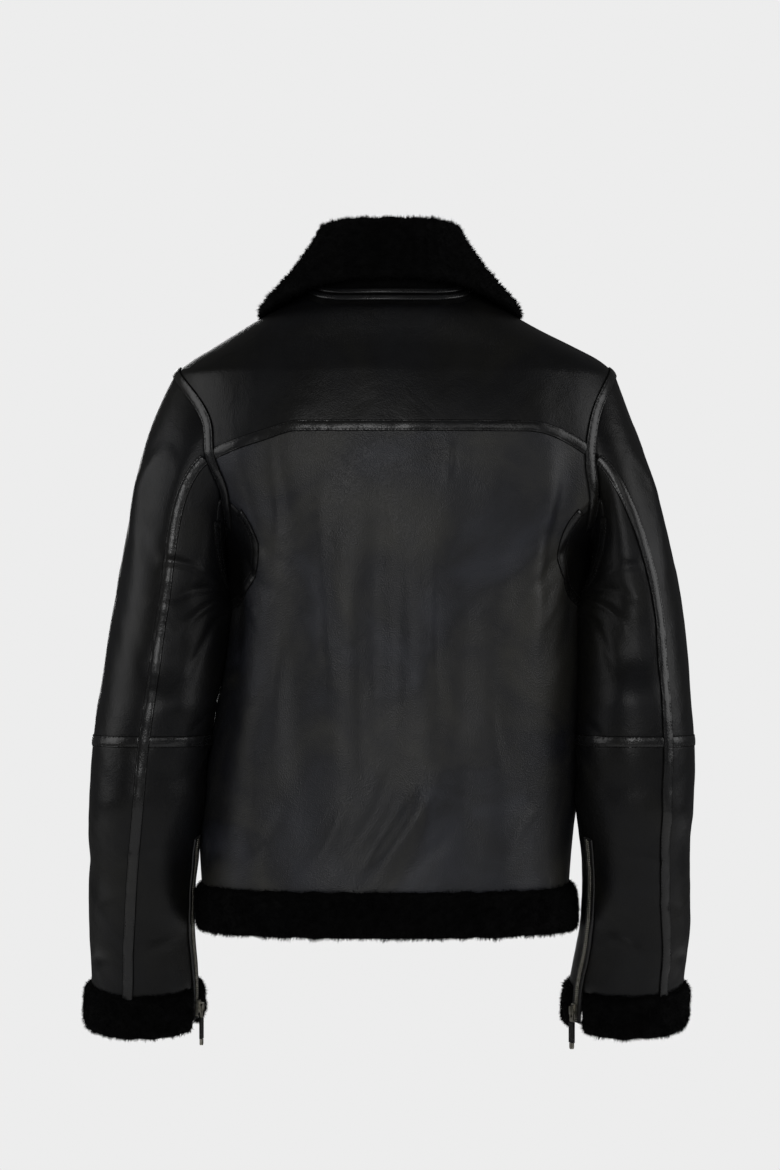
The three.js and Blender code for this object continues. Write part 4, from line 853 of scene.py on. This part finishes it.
for side_name, side in SIDES.items():
    column = ROUND_COLUMNS * close_to_ends(SLEEVE_COLUMNS, length=SLEEVE_ROUND_MM)[None, :]
    head = np.concatenate([HEAD_START, np.linspace(0.004, 1, 58)])[:, None]
    head_along = gusset_along(column) + (1 - gusset_along(column)) * head
    arm = np.linspace(1, ELBOW_ALONG, 30)[1:, None] + 0 * column
    along = np.vstack([head_along, arm])
    upper = sleeve(side, sleeve_turn(side, column, along), along)
    panel(f"sleeve_upper_leather_{side_name}", upper, sleeve_axis(side, upper), f"sleeve_upper_{side_name}")
    lower_share = np.concatenate([[0, 0.002, 0.008], np.linspace(0.02, 0.98, 60), [0.992, 0.998, 1]])[:, None]
    along = ELBOW_ALONG + (2 - ELBOW_ALONG) * lower_share + 0 * column
    lower = sleeve(side, sleeve_turn(side, column, along), along)
    panel(f"sleeve_lower_leather_{side_name}", lower, sleeve_axis(side, lower), f"sleeve_lower_{side_name}")
    column = np.linspace(GUSSET_FIRST + 0.15, GUSSET_FIRST + 2 * GUSSET_HALF - 0.15, 44)[:, None]
    hole_turn, hole_z = armhole(side, 90 + column * 360 / ROUND_COLUMNS)
    front = column > GUSSET_MIDDLE
    f = np.abs(column - GUSSET_MIDDLE) / GUSSET_HALF
    back_half, front_half = gusset_edge(side, f, False), gusset_edge(side, f, True)
    edge_turn, edge_z = (np.where(front, b, a) for a, b in zip(back_half, front_half))
    g = np.linspace(1, 0, 13)[None, :]
    on_body = body(side * (hole_turn + (edge_turn - hole_turn) * g), hole_z + (edge_z - hole_z) * g)
    along = gusset_along(column) * np.linspace(0, 0.98, 13)[None, 1:]
    on_sleeve = sleeve(side, sleeve_turn(side, column, along), along)
    fold = np.concatenate([on_body, on_sleeve], 1)
    armpit = body(side * 90, ARMPIT_Z)
    panel(f"gusset_leather_{side_name}", fold, armpit, f"gusset_{side_name}", GUSSET_WALL)

# %% [markdown]
# A strap of thinner, smoother leather covers each seam, held by two rows of stitches. It is a rounded flat
# section carried along the seam: its width is laid off on the surface itself, so it bends over every fold
# that it crosses. Between the stitches it rises a little and at the stitches it sinks, which is what makes
# sewn leather look sewn.

# %% Straps and stitches
STRAP_HALF, STRAP_UNDER = 5.75, 0.35
STITCH_FROM_EDGE = 1.5
STITCH_EVERY, STITCH_SUNK = 3.6, 0.42
STITCH_DIP, DIP_HALF, PUCKER = 0.5, 0.9, 0.45
STRAP_PROFILE = np.array([-1, -0.94, -0.86, -0.74, -0.6, -0.3, 0, 0.3, 0.6, 0.74, 0.86, 0.94, 1]) * STRAP_HALF


def across_path(frame_of, u, v):
    """Points and tangents of a path on a surface, and the steps of u and v that go one millimetre across it.
    They are solved from the surface's two slopes, so that they have the right length and stand square to it."""
    point, along_u, along_v, normal = frame_of(u, v)
    tangent = np.gradient(point, axis=0)
    tangent = tangent / np.linalg.norm(tangent, axis=-1)[:, None]
    across = np.cross(normal, tangent)
    uu, vv, uv = (np.sum(a * b, -1) for a, b in ((along_u, along_u), (along_v, along_v), (along_u, along_v)))
    us, vs = np.sum(along_u * across, -1), np.sum(along_v * across, -1)
    det = uu * vv - uv * uv
    return point, tangent, (us * vv - vs * uv) / det, (vs * uu - us * uv) / det


def lay_out(frame_of, u, v, offsets):
    """Places and normals at offsets in millimetres square to a path, with the path's tangents and lengths."""
    point, tangent, du, dv = across_path(frame_of, u, v)
    places, _, _, normals = frame_of(u[:, None] + du[:, None] * offsets, v[:, None] + dv[:, None] * offsets)
    lengths = np.concatenate([[0], np.cumsum(np.linalg.norm(np.diff(point, axis=0), axis=-1))])
    return places, normals, tangent, lengths


def shifted(frame_of, u, v, offset):
    """A path moved sideways by so many millimetres on its surface."""
    _, _, du, dv = across_path(frame_of, u, v)
    return u + offset * du, v + offset * dv


def closed_rings(rings):
    """Faces of a tube from rings of points, with both ends closed."""
    count, around = rings.shape[:2]
    faces = grid_faces(count, around, round_columns=True).tolist()
    return faces + [list(range(around))[::-1], list(range((count - 1) * around, count * around))]


STITCH = np.array([[-1.15, 0, 0], [-0.75, 0.28, 0], [-0.75, 0, 0.3], [-0.75, -0.28, 0],
                   [0.75, 0.28, 0], [0.75, 0, 0.3], [0.75, -0.28, 0], [1.15, 0, 0], [0, 0, -0.3]])
STITCH_FACES = np.array([[0, 2, 1], [0, 3, 2], [1, 2, 5], [1, 5, 4], [2, 3, 6], [2, 6, 5], [7, 4, 5], [7, 5, 6],
                         [8, 0, 1], [8, 1, 4], [8, 4, 7], [8, 7, 6], [8, 6, 3], [8, 3, 0]])
stitch_points = []


def copies(shape, place, along, across, up):
    """One small shape, its corners given along, across and up, set at many places at once."""
    frames_of = np.stack([along, across, up], -1)
    return place[:, None, :] + np.einsum("nij,kj->nki", frames_of, shape)


def frames_along(at, places, normals, tangent, lengths):
    """Places at distances along a line, with unit directions along it, across it and up from the surface."""
    def read(values):
        return np.stack([np.interp(at, lengths, values[:, i]) for i in range(3)], -1)

    up = read(normals)
    across = np.cross(up, read(tangent))
    across = across / np.linalg.norm(across, axis=-1)[:, None]
    return read(places), np.cross(across, up), across, up


def stitch_row(places, normals, tangent, lengths, height):
    """Stitches at even steps along a line on the surface, lying on the strap."""
    at = np.arange(STITCH_EVERY, lengths[-1] - STITCH_EVERY, STITCH_EVERY)
    place, along, across, up = frames_along(at, places, normals, tangent, lengths)
    stitch_points.append(copies(STITCH, place + height * up, along, across, up))


def strap_rings(places, normals, rise, lift):
    """Rings of a strap's section: its rounded top, and two points just under the surface that close it."""
    top = places + rise[..., None] * normals
    under = places[:, [-1, 0]] + (lift - STRAP_UNDER) * normals[:, [-1, 0]]
    return np.concatenate([top, under], 1)


def strap(name, frame_of, u, v, node, lift, thick=1.0, half=STRAP_HALF, material=strap_leather, rows=True):
    """A strap over a seam: a rounded section, thinner at its edges and dipping at its two rows of stitches."""
    offsets = STRAP_PROFILE * half / STRAP_HALF
    places, normals, tangent, lengths = lay_out(frame_of, u, v, offsets)
    crown = thick * (1 - (np.abs(offsets) / half) ** 8) ** 0.5
    stitch_line = half - STITCH_FROM_EDGE
    dip = STITCH_DIP * np.exp(-(((np.abs(offsets) - stitch_line) / DIP_HALF) ** 2)) if rows else 0 * offsets
    pucker = 1 + PUCKER * np.cos(lengths * 2 * np.pi / STITCH_EVERY)[:, None]
    wavy = 0.25 * ripple(lengths * 3, lengths * 0, len(name))[:, None]
    rings = strap_rings(places, normals, lift + crown - dip * pucker + wavy, lift)
    piece = mesh_piece(name, rings, closed_rings(rings), material, nodes=[node])
    turn_outwards(piece)
    if rows:
        ink_and_shade_edges(piece, len(rings), rings.shape[1])
        for edge in (-stitch_line, stitch_line):
            line, ups, _, _ = lay_out(frame_of, u, v, np.array([edge]))
            stitch_row(line[:, 0], ups[:, 0], tangent, lengths, lift + thick - STITCH_SUNK)
    print(f"{name}: {lengths[-1]:.0f} mm long")
    return piece


def ink_and_shade_edges(piece, count, around):
    """The strips of faces at both edges of a strap get a matt dark finish: the ink on its cut edges, and
    painted shade for the groove beside each edge.
    """
    piece.data.materials.append(edge_ink_and_shade)
    column = np.tile(np.arange(around), count - 1)
    dark_edge_strips = np.isin(column, [0, 1, *range(around - 5, around)])
    piece.data.polygons.foreach_set("material_index", np.append(dark_edge_strips.astype(int), [1, 1]))


def turn_outwards(piece):
    """Turns the faces of a closed mesh outwards. Its volume, summed from the triangle that each face makes with
    the origin, comes out below zero where they point inwards."""
    co = np.empty(len(piece.data.vertices) * 3)
    piece.data.vertices.foreach_get("co", co)
    piece.data.calc_loop_triangles()
    tri = np.empty(len(piece.data.loop_triangles) * 3, int)
    piece.data.loop_triangles.foreach_get("vertices", tri)
    a, b, c = np.moveaxis(co.reshape(-1, 3)[tri.reshape(-1, 3)], 1, 0)
    if np.sum(a * np.cross(b, c)) <= 0:
        piece.data.flip_normals()


# %% [markdown]
# On the body the straps follow the yoke seam from arm to arm, each armhole from the armpit behind over the
# shoulder to the armpit in front, and the edge of each gusset. The ends of one run under the next, as a
# maker would lay them, so that no cut end is seen.

# %% Straps of the body
YOKE_STRAP_SHORT = 2.2  # degrees that the strap stops short of the armhole, under the strap there
ARMHOLE_STRAP_ROUND = 140  # degrees round the armhole to either side of its top
ARMHOLE_STRAP_UP, ARMHOLE_STRAP_DEEP = 5, 5.5  # how far outside the armhole it lies
GUSSET_STRAP_SHARE = 0.86
yoke_ends = {side: side * (armhole(side, 90.0)[0] - YOKE_STRAP_SHORT) for side in (LEFT, RIGHT)}
turn = np.linspace(yoke_ends[RIGHT], yoke_ends[LEFT], 130)
strap("yoke_strap_leather", body_frame, turn, yoke_line(turn), "yoke_strap", 0.2)

for side_name, side in SIDES.items():
    round_hole = np.radians(np.linspace(ARMHOLE_STRAP_ROUND, -ARMHOLE_STRAP_ROUND, 180))
    z = ARMHOLE_MIDDLE + (ARMHOLE_HALF + ARMHOLE_STRAP_UP) * np.cos(round_hole)
    deep = np.where(round_hole >= 0, ARMHOLE_BACK, ARMHOLE_FRONT) + ARMHOLE_STRAP_DEEP
    turn = side * body_turn(side, deep * np.sin(round_hole), z)
    strap(f"armhole_strap_leather_{side_name}", body_frame, turn, z, f"armhole_strap_{side_name}", 0.9)
    f = np.linspace(-GUSSET_STRAP_SHARE, GUSSET_STRAP_SHARE, 80)
    back_half, front_half = gusset_edge(side, np.abs(f), False), gusset_edge(side, np.abs(f), True)
    turn, z = (np.where(f > 0, b, a) for a, b in zip(back_half, front_half))
    strap(f"gusset_strap_body_leather_{side_name}", body_frame, side * turn, z,
          f"gusset_strap_body_{side_name}", 0.3, thick=0.9)

# %% [markdown]
# On a sleeve one long strap covers the seam from the armhole to the cuff, a second goes round the elbow
# seam from one side of the long strap to the other, and a third follows the gusset's edge. The long strap
# lies highest, since it is sewn on last.

# %% Straps of the sleeves
SLEEVE_STRAP_FROM, SLEEVE_STRAP_TO = 0.005, 2.012
ELBOW_STRAP_GAP = 4  # degrees between the middle of the long strap and the end of the elbow strap
for side_name, side in SIDES.items():
    frame_of = sleeve_frame(side)
    column = GUSSET_MIDDLE + GUSSET_HALF * np.linspace(-GUSSET_STRAP_SHARE, GUSSET_STRAP_SHARE, 80)
    along = gusset_along(column)
    strap(f"gusset_strap_sleeve_leather_{side_name}", frame_of, sleeve_turn(side, column, along), along,
          f"gusset_strap_sleeve_{side_name}", 0.3, thick=0.9)
    along = np.linspace(SLEEVE_STRAP_FROM, SLEEVE_STRAP_TO, 250)
    strap(f"sleeve_strap_leather_{side_name}", frame_of, sleeve_turn(side, 0, along), along,
          f"sleeve_strap_{side_name}", 0.9)
    seam = float(sleeve_turn(side, 0, ELBOW_ALONG))
    turn = np.linspace(seam + ELBOW_STRAP_GAP, seam + 360 - ELBOW_STRAP_GAP, 150)
    strap(f"elbow_strap_leather_{side_name}", frame_of, turn, np.full(turn.shape, ELBOW_ALONG),
          f"elbow_strap_{side_name}", 0.2)

# %% [markdown]
# Fur is what the collar, hem and cuffs show. Under it is a plain rounded form that fills the space, and on
# that stand tens of thousands of strands. A strand is a thin three-sided spike, since one has only three
# faces and still catches the light like hair. Each leans the way the fur lies, is pulled towards its
# neighbours by a slow wave so that the pile gathers in tufts, and has its own length.

# %% Fur
STRAND_HALF_WIDTH, ROOT_DEPTH = 0.42, 1.2
TUFT_WAVE, TUFT_LEAN, TUFT_LENGTH = 0.45, 0.2, 0.18
CHANCE_LEAN, LAID_FLAT = 0.24, 0.6
LUMP_HEIGHT = 0.9


def strands(name, points, normals, count, length, lay, seed, skip=None):
    """Spikes on a grid of points. Places are chosen evenly by area, and the tip of a spike is at
    normal times length, plus the lay of the fur, plus a slow wave and a small chance lean."""
    rng = np.random.default_rng(seed)
    area = cell_areas(points)
    if skip is not None:
        area = area * ~skip[:-1, :-1]
    cell = rng.choice(area.size, count, p=area.ravel() / area.sum())
    i, j = np.unravel_index(cell, area.shape)
    a, b = rng.random((2, count, 1))

    def read(grid):
        return ((1 - a) * (1 - b) * grid[i, j] + a * (1 - b) * grid[i + 1, j]
                + (1 - a) * b * grid[i, j + 1] + a * b * grid[i + 1, j + 1])

    root, up = read(points), read(normals)
    up = up / np.linalg.norm(up, axis=-1)[:, None]
    wave = sum(np.sin(root @ rng.normal(0, TUFT_WAVE / k, (3, 3)) + rng.uniform(0, 6.28, 3))
               for k in (1, 1, 0.5, 2))
    lean = np.asarray(lay) + TUFT_LEAN * wave + rng.normal(0, CHANCE_LEAN, (count, 3))
    way = up + lean - np.sum(lean * up, -1)[:, None] * up * LAID_FLAT
    way = way / np.linalg.norm(way, axis=-1)[:, None]
    tall = rng.uniform(length[0], length[1], (count, 1)) * (1 + TUFT_LENGTH * wave[:, :1])
    side = np.cross(way, rng.normal(0, 1, (count, 3)))
    side = side / np.linalg.norm(side, axis=-1)[:, None]
    third = np.cross(way, side)
    corners = [root - ROOT_DEPTH * way + STRAND_HALF_WIDTH * (math.cos(t) * side + math.sin(t) * third)
               for t in (0, 2.094, 4.189)]
    made = np.stack([*corners, root + tall * way], 1)
    start = 4 * np.arange(count)[:, None]
    faces = np.concatenate([start + np.array(t) for t in ([0, 1, 3], [1, 2, 3], [2, 0, 3])])
    piece = mesh_piece(name, made, faces.tolist(), fur)
    print(f"{name}: {count} strands")
    return piece


def outward(points):
    """Unit normals of a closed section carried along a path, turned to point away from its own middle."""
    middle = points.mean(axis=1, keepdims=True)
    wrapped = np.concatenate([points[:, -1:], points, points[:, :1]], 1)
    normal = np.cross(np.gradient(points, axis=0), (wrapped[:, 2:] - wrapped[:, :-2]) / 2)
    normal = normal / np.maximum(np.linalg.norm(normal, axis=-1), 1e-9)[..., None]
    return normal * (1 if np.sum(normal * (points - middle)) > 0 else -1)


def furry(name, rings, node, count, length, lay, seed, skip=None):
    """A furry edge: the form under the fur with its small lumps, and the strands on it."""
    normal = outward(rings)
    x, y, z = np.moveaxis(rings, -1, 0)
    lumps = LUMP_HEIGHT * np.sin(x * 0.21 + 2 * np.sin(z * 0.13)) * np.sin(y * 0.19 + 1)
    rings = rings + lumps[..., None] * normal
    base = mesh_piece(name, rings, closed_rings(rings), fur, nodes=[node])
    turn_outwards(base)
    pile = strands(f"{name}_pile", rings, normal, count, length, lay, seed, skip=skip)


def rounded_taper(share, end):
    """Thickness near the two ends of a furry piece: it closes like a quarter circle."""
    near = np.clip(np.minimum(share, 1 - share) / end, 0, 1)
    return np.maximum(np.sqrt(1 - (1 - near) ** 2), 0.04)


# %% [markdown]
# The collar stands up round the neck, rolls over and falls on the yoke, and its fur side shows everywhere.
# Its section is one line, up, round and down, with half a thickness laid off on both sides. The line's
# sizes change round the neck, so that the fall is deeper at the corners in front than behind.

# %% Collar
# Turn to either side, radius and height of the roll's top, radius and height of the fall's edge
COLLAR = table([
    [0, 66, 60, 98, -4], [30, 66, 60, 104, -6], [60, 63, 59, 118, -15], [90, 62, 57, 134, -31],
    [120, 62, 36, 114, -42], [150, 66, -2, 110, -104], [172, 74, -36, 107, -130],
])
COLLAR_END = 172
COLLAR_FOLD, STAND_HALF, FALL_HALF = 7, 3.2, 6
STAND_POINTS, OVER_POINTS = 8, 11
EDGE_RAISED, RAISED_TO, RAISED_OVER = 0.86, 42, 40  # behind, the fall stops at this share of its curve


def collar_base(turn):
    """Lower end and top of the collar's stand, as radius and height."""
    seam = body(turn, neck_line(turn))
    roll, roll_z, _, _ = COLLAR(np.abs(turn))
    low = np.stack([np.hypot(seam[..., 0], seam[..., 1]) - STAND_HALF - 0.2, seam[..., 2] + 0.6], -1)
    return low, np.stack([roll - COLLAR_FOLD, roll_z - COLLAR_FOLD], -1)


def collar_line(turn):
    """The collar's middle line and half thickness at each turn: a straight stand, a half circle over the roll
    and a curved fall, whose edge is rounded."""
    low, high = collar_base(turn)
    roll, roll_z, edge, edge_z = (x[:, None] for x in COLLAR(np.abs(turn)))
    f = np.linspace(-0.08, 1, STAND_POINTS + 1)[None, :-1]
    stand = low[:, None] + (high - low)[:, None] * f[..., None]
    arc = np.linspace(0, np.pi, OVER_POINTS)[None, :]
    over = np.stack([roll - COLLAR_FOLD * np.cos(arc), roll_z - COLLAR_FOLD + COLLAR_FOLD * np.sin(arc)], -1)
    top_r, top_z = roll + COLLAR_FOLD, roll_z - COLLAR_FOLD
    bend_r, bend_z = top_r + 0.35 * (edge - top_r), (top_z + edge_z) / 2
    share = np.concatenate([np.linspace(0, 0.92, 18)[1:], [0.95, 0.975, 0.99, 1]])
    lowered = np.clip((np.abs(turn) - RAISED_TO) / RAISED_OVER, 0, 1)[:, None] ** 1.5
    g = share * (EDGE_RAISED + (1 - EDGE_RAISED) * lowered)
    fall = np.stack([(1 - g) ** 2 * top_r + 2 * g * (1 - g) * bend_r + g * g * edge,
                     (1 - g) ** 2 * top_z + 2 * g * (1 - g) * bend_z + g * g * edge_z], -1)
    over_half = STAND_HALF + (FALL_HALF - STAND_HALF) * np.minimum(1, np.linspace(0, 1, OVER_POINTS) * 1.4)
    fall_half = FALL_HALF * np.sqrt(1 - np.clip((share - 0.88) / 0.125, 0, 1) ** 2)
    half = np.concatenate([np.full(STAND_POINTS, STAND_HALF), over_half, fall_half])
    return np.concatenate([stand, over, fall], 1), half


def round_the_neck(section, turn):
    """Points in space from a section given as radius and height at each turn."""
    turned = np.radians(turn)[:, None]
    return np.stack([section[..., 0] * np.sin(turned), section[..., 0] * np.cos(turned), section[..., 1]], -1)


turn = np.concatenate([np.linspace(-COLLAR_END, -COLLAR_END + 3, 6)[:-1],
                       np.linspace(-COLLAR_END + 3, COLLAR_END - 3, 170),
                       np.linspace(COLLAR_END - 3, COLLAR_END, 6)[1:]])
line, half = collar_line(turn)
step = np.gradient(line, axis=1)
step = step / np.linalg.norm(step, axis=-1)[..., None]
square = np.stack([-step[..., 1], step[..., 0]], -1)
end_taper = rounded_taper((turn + COLLAR_END) / (2 * COLLAR_END), 0.008)
thick = (half[None, :] * end_taper[:, None])[..., None]
section = np.concatenate([line + thick * square, (line - thick * square)[:, ::-1]], 1)
collar_points = round_the_neck(section, turn)
hidden = np.zeros(collar_points.shape[:2], bool)
hidden[:, 2 * len(half) - STAND_POINTS:] = True
furry("collar_fur", collar_points, "collar", count=64000, length=(2.2, 4.2), lay=(0, 0, -0.35),
      seed=5, skip=hidden)

# %% [markdown]
# Two narrow bands of glossy leather go round the foot of the collar, one above the other, where the yoke
# meets it. Each is a small rounded section on the outside of the stand.

# %% Bands round the collar's foot
BAND_END, BAND_HIGH, BAND_THICK, BAND_LIFT = 165, 5.6, 1.5, 0.8
turn = np.linspace(-BAND_END, BAND_END, 150)
low, high = collar_base(turn)
up = (high - low) / np.linalg.norm(high - low, axis=-1)[:, None]
out = np.stack([up[:, 1], -up[:, 0]], -1)
across = np.linspace(-1, 1, 9)
for name, foot in (("lower", 1.2), ("upper", 8.4)):
    height = foot + BAND_HIGH * (across + 1) / 2
    bulge = STAND_HALF + BAND_LIFT + BAND_THICK * np.sqrt(1 - 0.92 * across**6) * (1 + 0.06 * across)
    outer = low[:, None] + up[:, None] * height[None, :, None] + out[:, None] * bulge[None, :, None]
    inner = (low[:, None] + up[:, None] * height[None, ::-1][:, [0, -1], None]
             + out[:, None] * (STAND_HALF + BAND_LIFT - 0.3))
    points = round_the_neck(np.concatenate([outer, inner], 1), turn)
    band = mesh_piece(f"collar_band_leather_{name}", points, closed_rings(points), strap_leather,
                      nodes=[f"collar_band_{name}"])
    turn_outwards(band)

# %% [markdown]
# The hem and the cuffs end in bands of fur that stand out beyond the leather. Their section is a rounded
# block, carried round the hem from one side of the front zip to the other, and round each cuff from one
# side of its slit to the other.

# %% Hem and cuffs
# Millimetres out from the leather's face, and the share of the way from the band's top to its bottom
FUR_SECTION = np.array([
    [-4, -0.07], [-4, 0.35], [-4, 0.7], [-3.4, 0.93], [-1.5, 1], [1.5, 1.0], [4, 0.95], [5.6, 0.84],
    [6.3, 0.66], [6.4, 0.45], [6.1, 0.25], [5.2, 0.1], [3.4, 0.03], [0, 0], [-1, -0.06],
])
END_GAP = 2  # between a furry band's end and the zip's tape
HEM_TAPER, CUFF_TAPER = 0.008, 0.02


def fur_rings(frame_of, turn, top, bottom, end):
    """Section of a furry band at each turn, laid off from the surface that it continues. Near its two ends the
    section draws together, so that they are rounded."""
    down = top + (bottom - top) * FUR_SECTION[:, 1]
    point, _, _, normal = frame_of(turn[:, None] + 0 * down, down + 0 * turn[:, None])
    rings = point + FUR_SECTION[:, 0][:, None] * normal
    middle = rings.mean(axis=1, keepdims=True)
    share = (turn - turn[0]) / (turn[-1] - turn[0])
    return middle + (rings - middle) * rounded_taper(share, end)[:, None, None]


def around_between(first, last, count, end):
    """Turns from first to last, packed close at both ends where the band is rounded off."""
    close = end * (1 - np.cos(np.linspace(0, np.pi / 2, 6)))[:-1]
    share = np.concatenate([close, np.linspace(end, 1 - end, count), 1 - close[::-1]])
    return first + (last - first) * share


gap = math.degrees(math.asin((FRONT_HALF + END_GAP) / BODY(HEM_Z)[3]))
turn = around_between(gap - 180, 180 - gap, 200, HEM_TAPER)
hem_points = fur_rings(body_frame, turn, HEM_Z - 0.4, HEM_Z - HEM_FUR, HEM_TAPER)
hidden = np.zeros(hem_points.shape[:2], bool)
hidden[:, 0] = True
furry("hem_fur_band", hem_points, "hem_fur", count=50000, length=(2.2, 4.2), lay=(0, 0, -0.5),
      seed=7, skip=hidden)

CUFF_ZIP_TURN = {LEFT: 164, RIGHT: 150}
CUFF_SLIT = 9.5
for side_name, side in SIDES.items():
    zip_turn = CUFF_ZIP_TURN[side]
    gap = math.degrees((CUFF_SLIT + END_GAP) / SLEEVE[side](SLEEVE_END_Z)[3])
    turn = around_between(zip_turn + gap, zip_turn + 360 - gap, 120, CUFF_TAPER)
    points = fur_rings(sleeve_frame(side), turn, 2 + 0.4 / SLEEVE_DROP, 2 + CUFF_FUR / SLEEVE_DROP, CUFF_TAPER)
    furry(f"cuff_fur_band_{side_name}", points, f"cuff_fur_{side_name}", count=20000,
          length=(2.2, 4), lay=(0, 0, -0.5), seed=11 + side)

# %% [markdown]
# Each zip is a woven tape with metal teeth down its middle. At the cuffs two leather lips, sewn with one
# row each, cover the tape's edges. A tooth is one small block, a little narrower at its nose; the two rows
# are half a step apart, so that they mesh.

# %% Zips
TOOTH = np.array([[-0.6, -0.4, 0], [0.6, -0.4, 0], [0.55, 2.9, 0], [-0.55, 2.9, 0],
                  [-0.5, -0.3, 1.35], [0.5, -0.3, 1.35], [0.45, 2.8, 1.15], [-0.45, 2.8, 1.15]])
TOOTH_FACES = np.array([[4, 5, 6], [4, 6, 7], [0, 1, 5], [0, 5, 4], [1, 2, 6], [1, 6, 5],
                        [2, 3, 7], [2, 7, 6], [3, 0, 4], [3, 4, 7], [0, 2, 1], [0, 3, 2]])
TOOTH_EVERY = 2.2
LIP_THICK, LIP_HALF, LIP_SUNK = 1.6, 2.0, 0.9


def repeated(name, shapes, template, material):
    """One piece from many copies of one small shape."""
    points = np.concatenate(shapes)
    starts = len(points[0]) * np.arange(len(points))[:, None, None]
    faces = (template[None] + starts).reshape(-1, template.shape[1])
    print(f"{name}: {len(points)} copies")
    mesh_piece(name, points, faces.tolist(), material)


def lip(name, frame_of, u, v, lift):
    """A narrow leather lip beside a zip, with one row of stitches along its middle."""
    offsets = STRAP_PROFILE * LIP_HALF / STRAP_HALF
    places, normals, tangent, lengths = lay_out(frame_of, u, v, offsets)
    crown = LIP_THICK * np.sqrt(np.clip(1 - (offsets / LIP_HALF) ** 4, 0, 1))
    rings = strap_rings(places, normals, lift + crown, lift)
    piece = mesh_piece(name, rings, closed_rings(rings), strap_leather)
    turn_outwards(piece)
    middle = len(offsets) // 2
    stitch_row(places[:, middle], normals[:, middle], tangent, lengths, lift + LIP_THICK - 0.1)


def zip_fastener(name, frame_of, u, v, node, half, lift, thick, lips_at=None):
    """Tape, two rows of teeth, and two leather lips at a distance to either side, along a path on a surface."""
    tape_piece = strap(f"{name}_tape", frame_of, u, v, node, lift, thick=thick, half=half, material=tape,
                       rows=False)
    places, normals, tangent, lengths = lay_out(frame_of, u, v, np.array([0.0]))
    both = []
    for way in (1, -1):
        at = np.arange(2, lengths[-1] - 2, TOOTH_EVERY) + (0.5 + 0.5 * way) * TOOTH_EVERY / 2
        place, along, across, up = frames_along(at, places[:, 0], normals[:, 0], tangent, lengths)
        both.append(copies(TOOTH * np.array([1, way, 1]), place + (lift + thick - 0.1) * up, along, across, up))
    repeated(f"{name}_teeth", both, TOOTH_FACES, metal)
    if lips_at:
        for tag, offset in (("near", -lips_at), ("far", lips_at)):
            lip(f"{name}_lip_{tag}", frame_of, *shifted(frame_of, u, v, offset), lift + thick - LIP_SUNK)


CUFF_ZIP_TOP_Z, CUFF_ZIP_END = -561, 33
FRONT_ZIP_TOP_Z, FRONT_ZIP_END_Z = -84, -655
for side_name, side in SIDES.items():
    along = np.linspace(1 + (SLEEVE_TOP_Z - CUFF_ZIP_TOP_Z) / SLEEVE_DROP, 2 + CUFF_ZIP_END / SLEEVE_DROP, 110)
    turn = np.full(along.shape, float(CUFF_ZIP_TURN[side]))
    zip_fastener(f"cuff_zip_{side_name}_fine", sleeve_frame(side), turn, along, f"cuff_zip_{side_name}",
                 half=5.5, lift=0.8, thick=1.0, lips_at=5.6)
z = np.linspace(FRONT_ZIP_TOP_Z, FRONT_ZIP_END_Z, 240)
zip_fastener("front_zip_fine", body_frame, np.full(z.shape, 180.0), z, "front_zip",
             half=7.2, lift=-2.0, thick=1.6)

# %% [markdown]
# Every row of stitches on the straps and lips was only noted down so far. They are black like the leather
# and all of one thread, so that they are made as one piece, and its many small copies cost little.

# %% Stitches as one piece
repeated("stitches", stitch_points, STITCH_FACES, thread)

# %% [markdown]
# The sliders and their pulls stay as the solid model has them, since they are hard and small. They get the
# worn nickel of the teeth, and the tabs get strap leather.

# %% Sliders, pulls and tabs
for node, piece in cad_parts.items():
    is_metal = any(word in node for word in ("slider", "pull", "tab_end"))
    if is_metal or "tab" in node:
        piece.data.materials.clear()
        piece.data.materials.append(metal if is_metal else strap_leather)
        print(f"{node}: {piece.data.materials[0].name}")
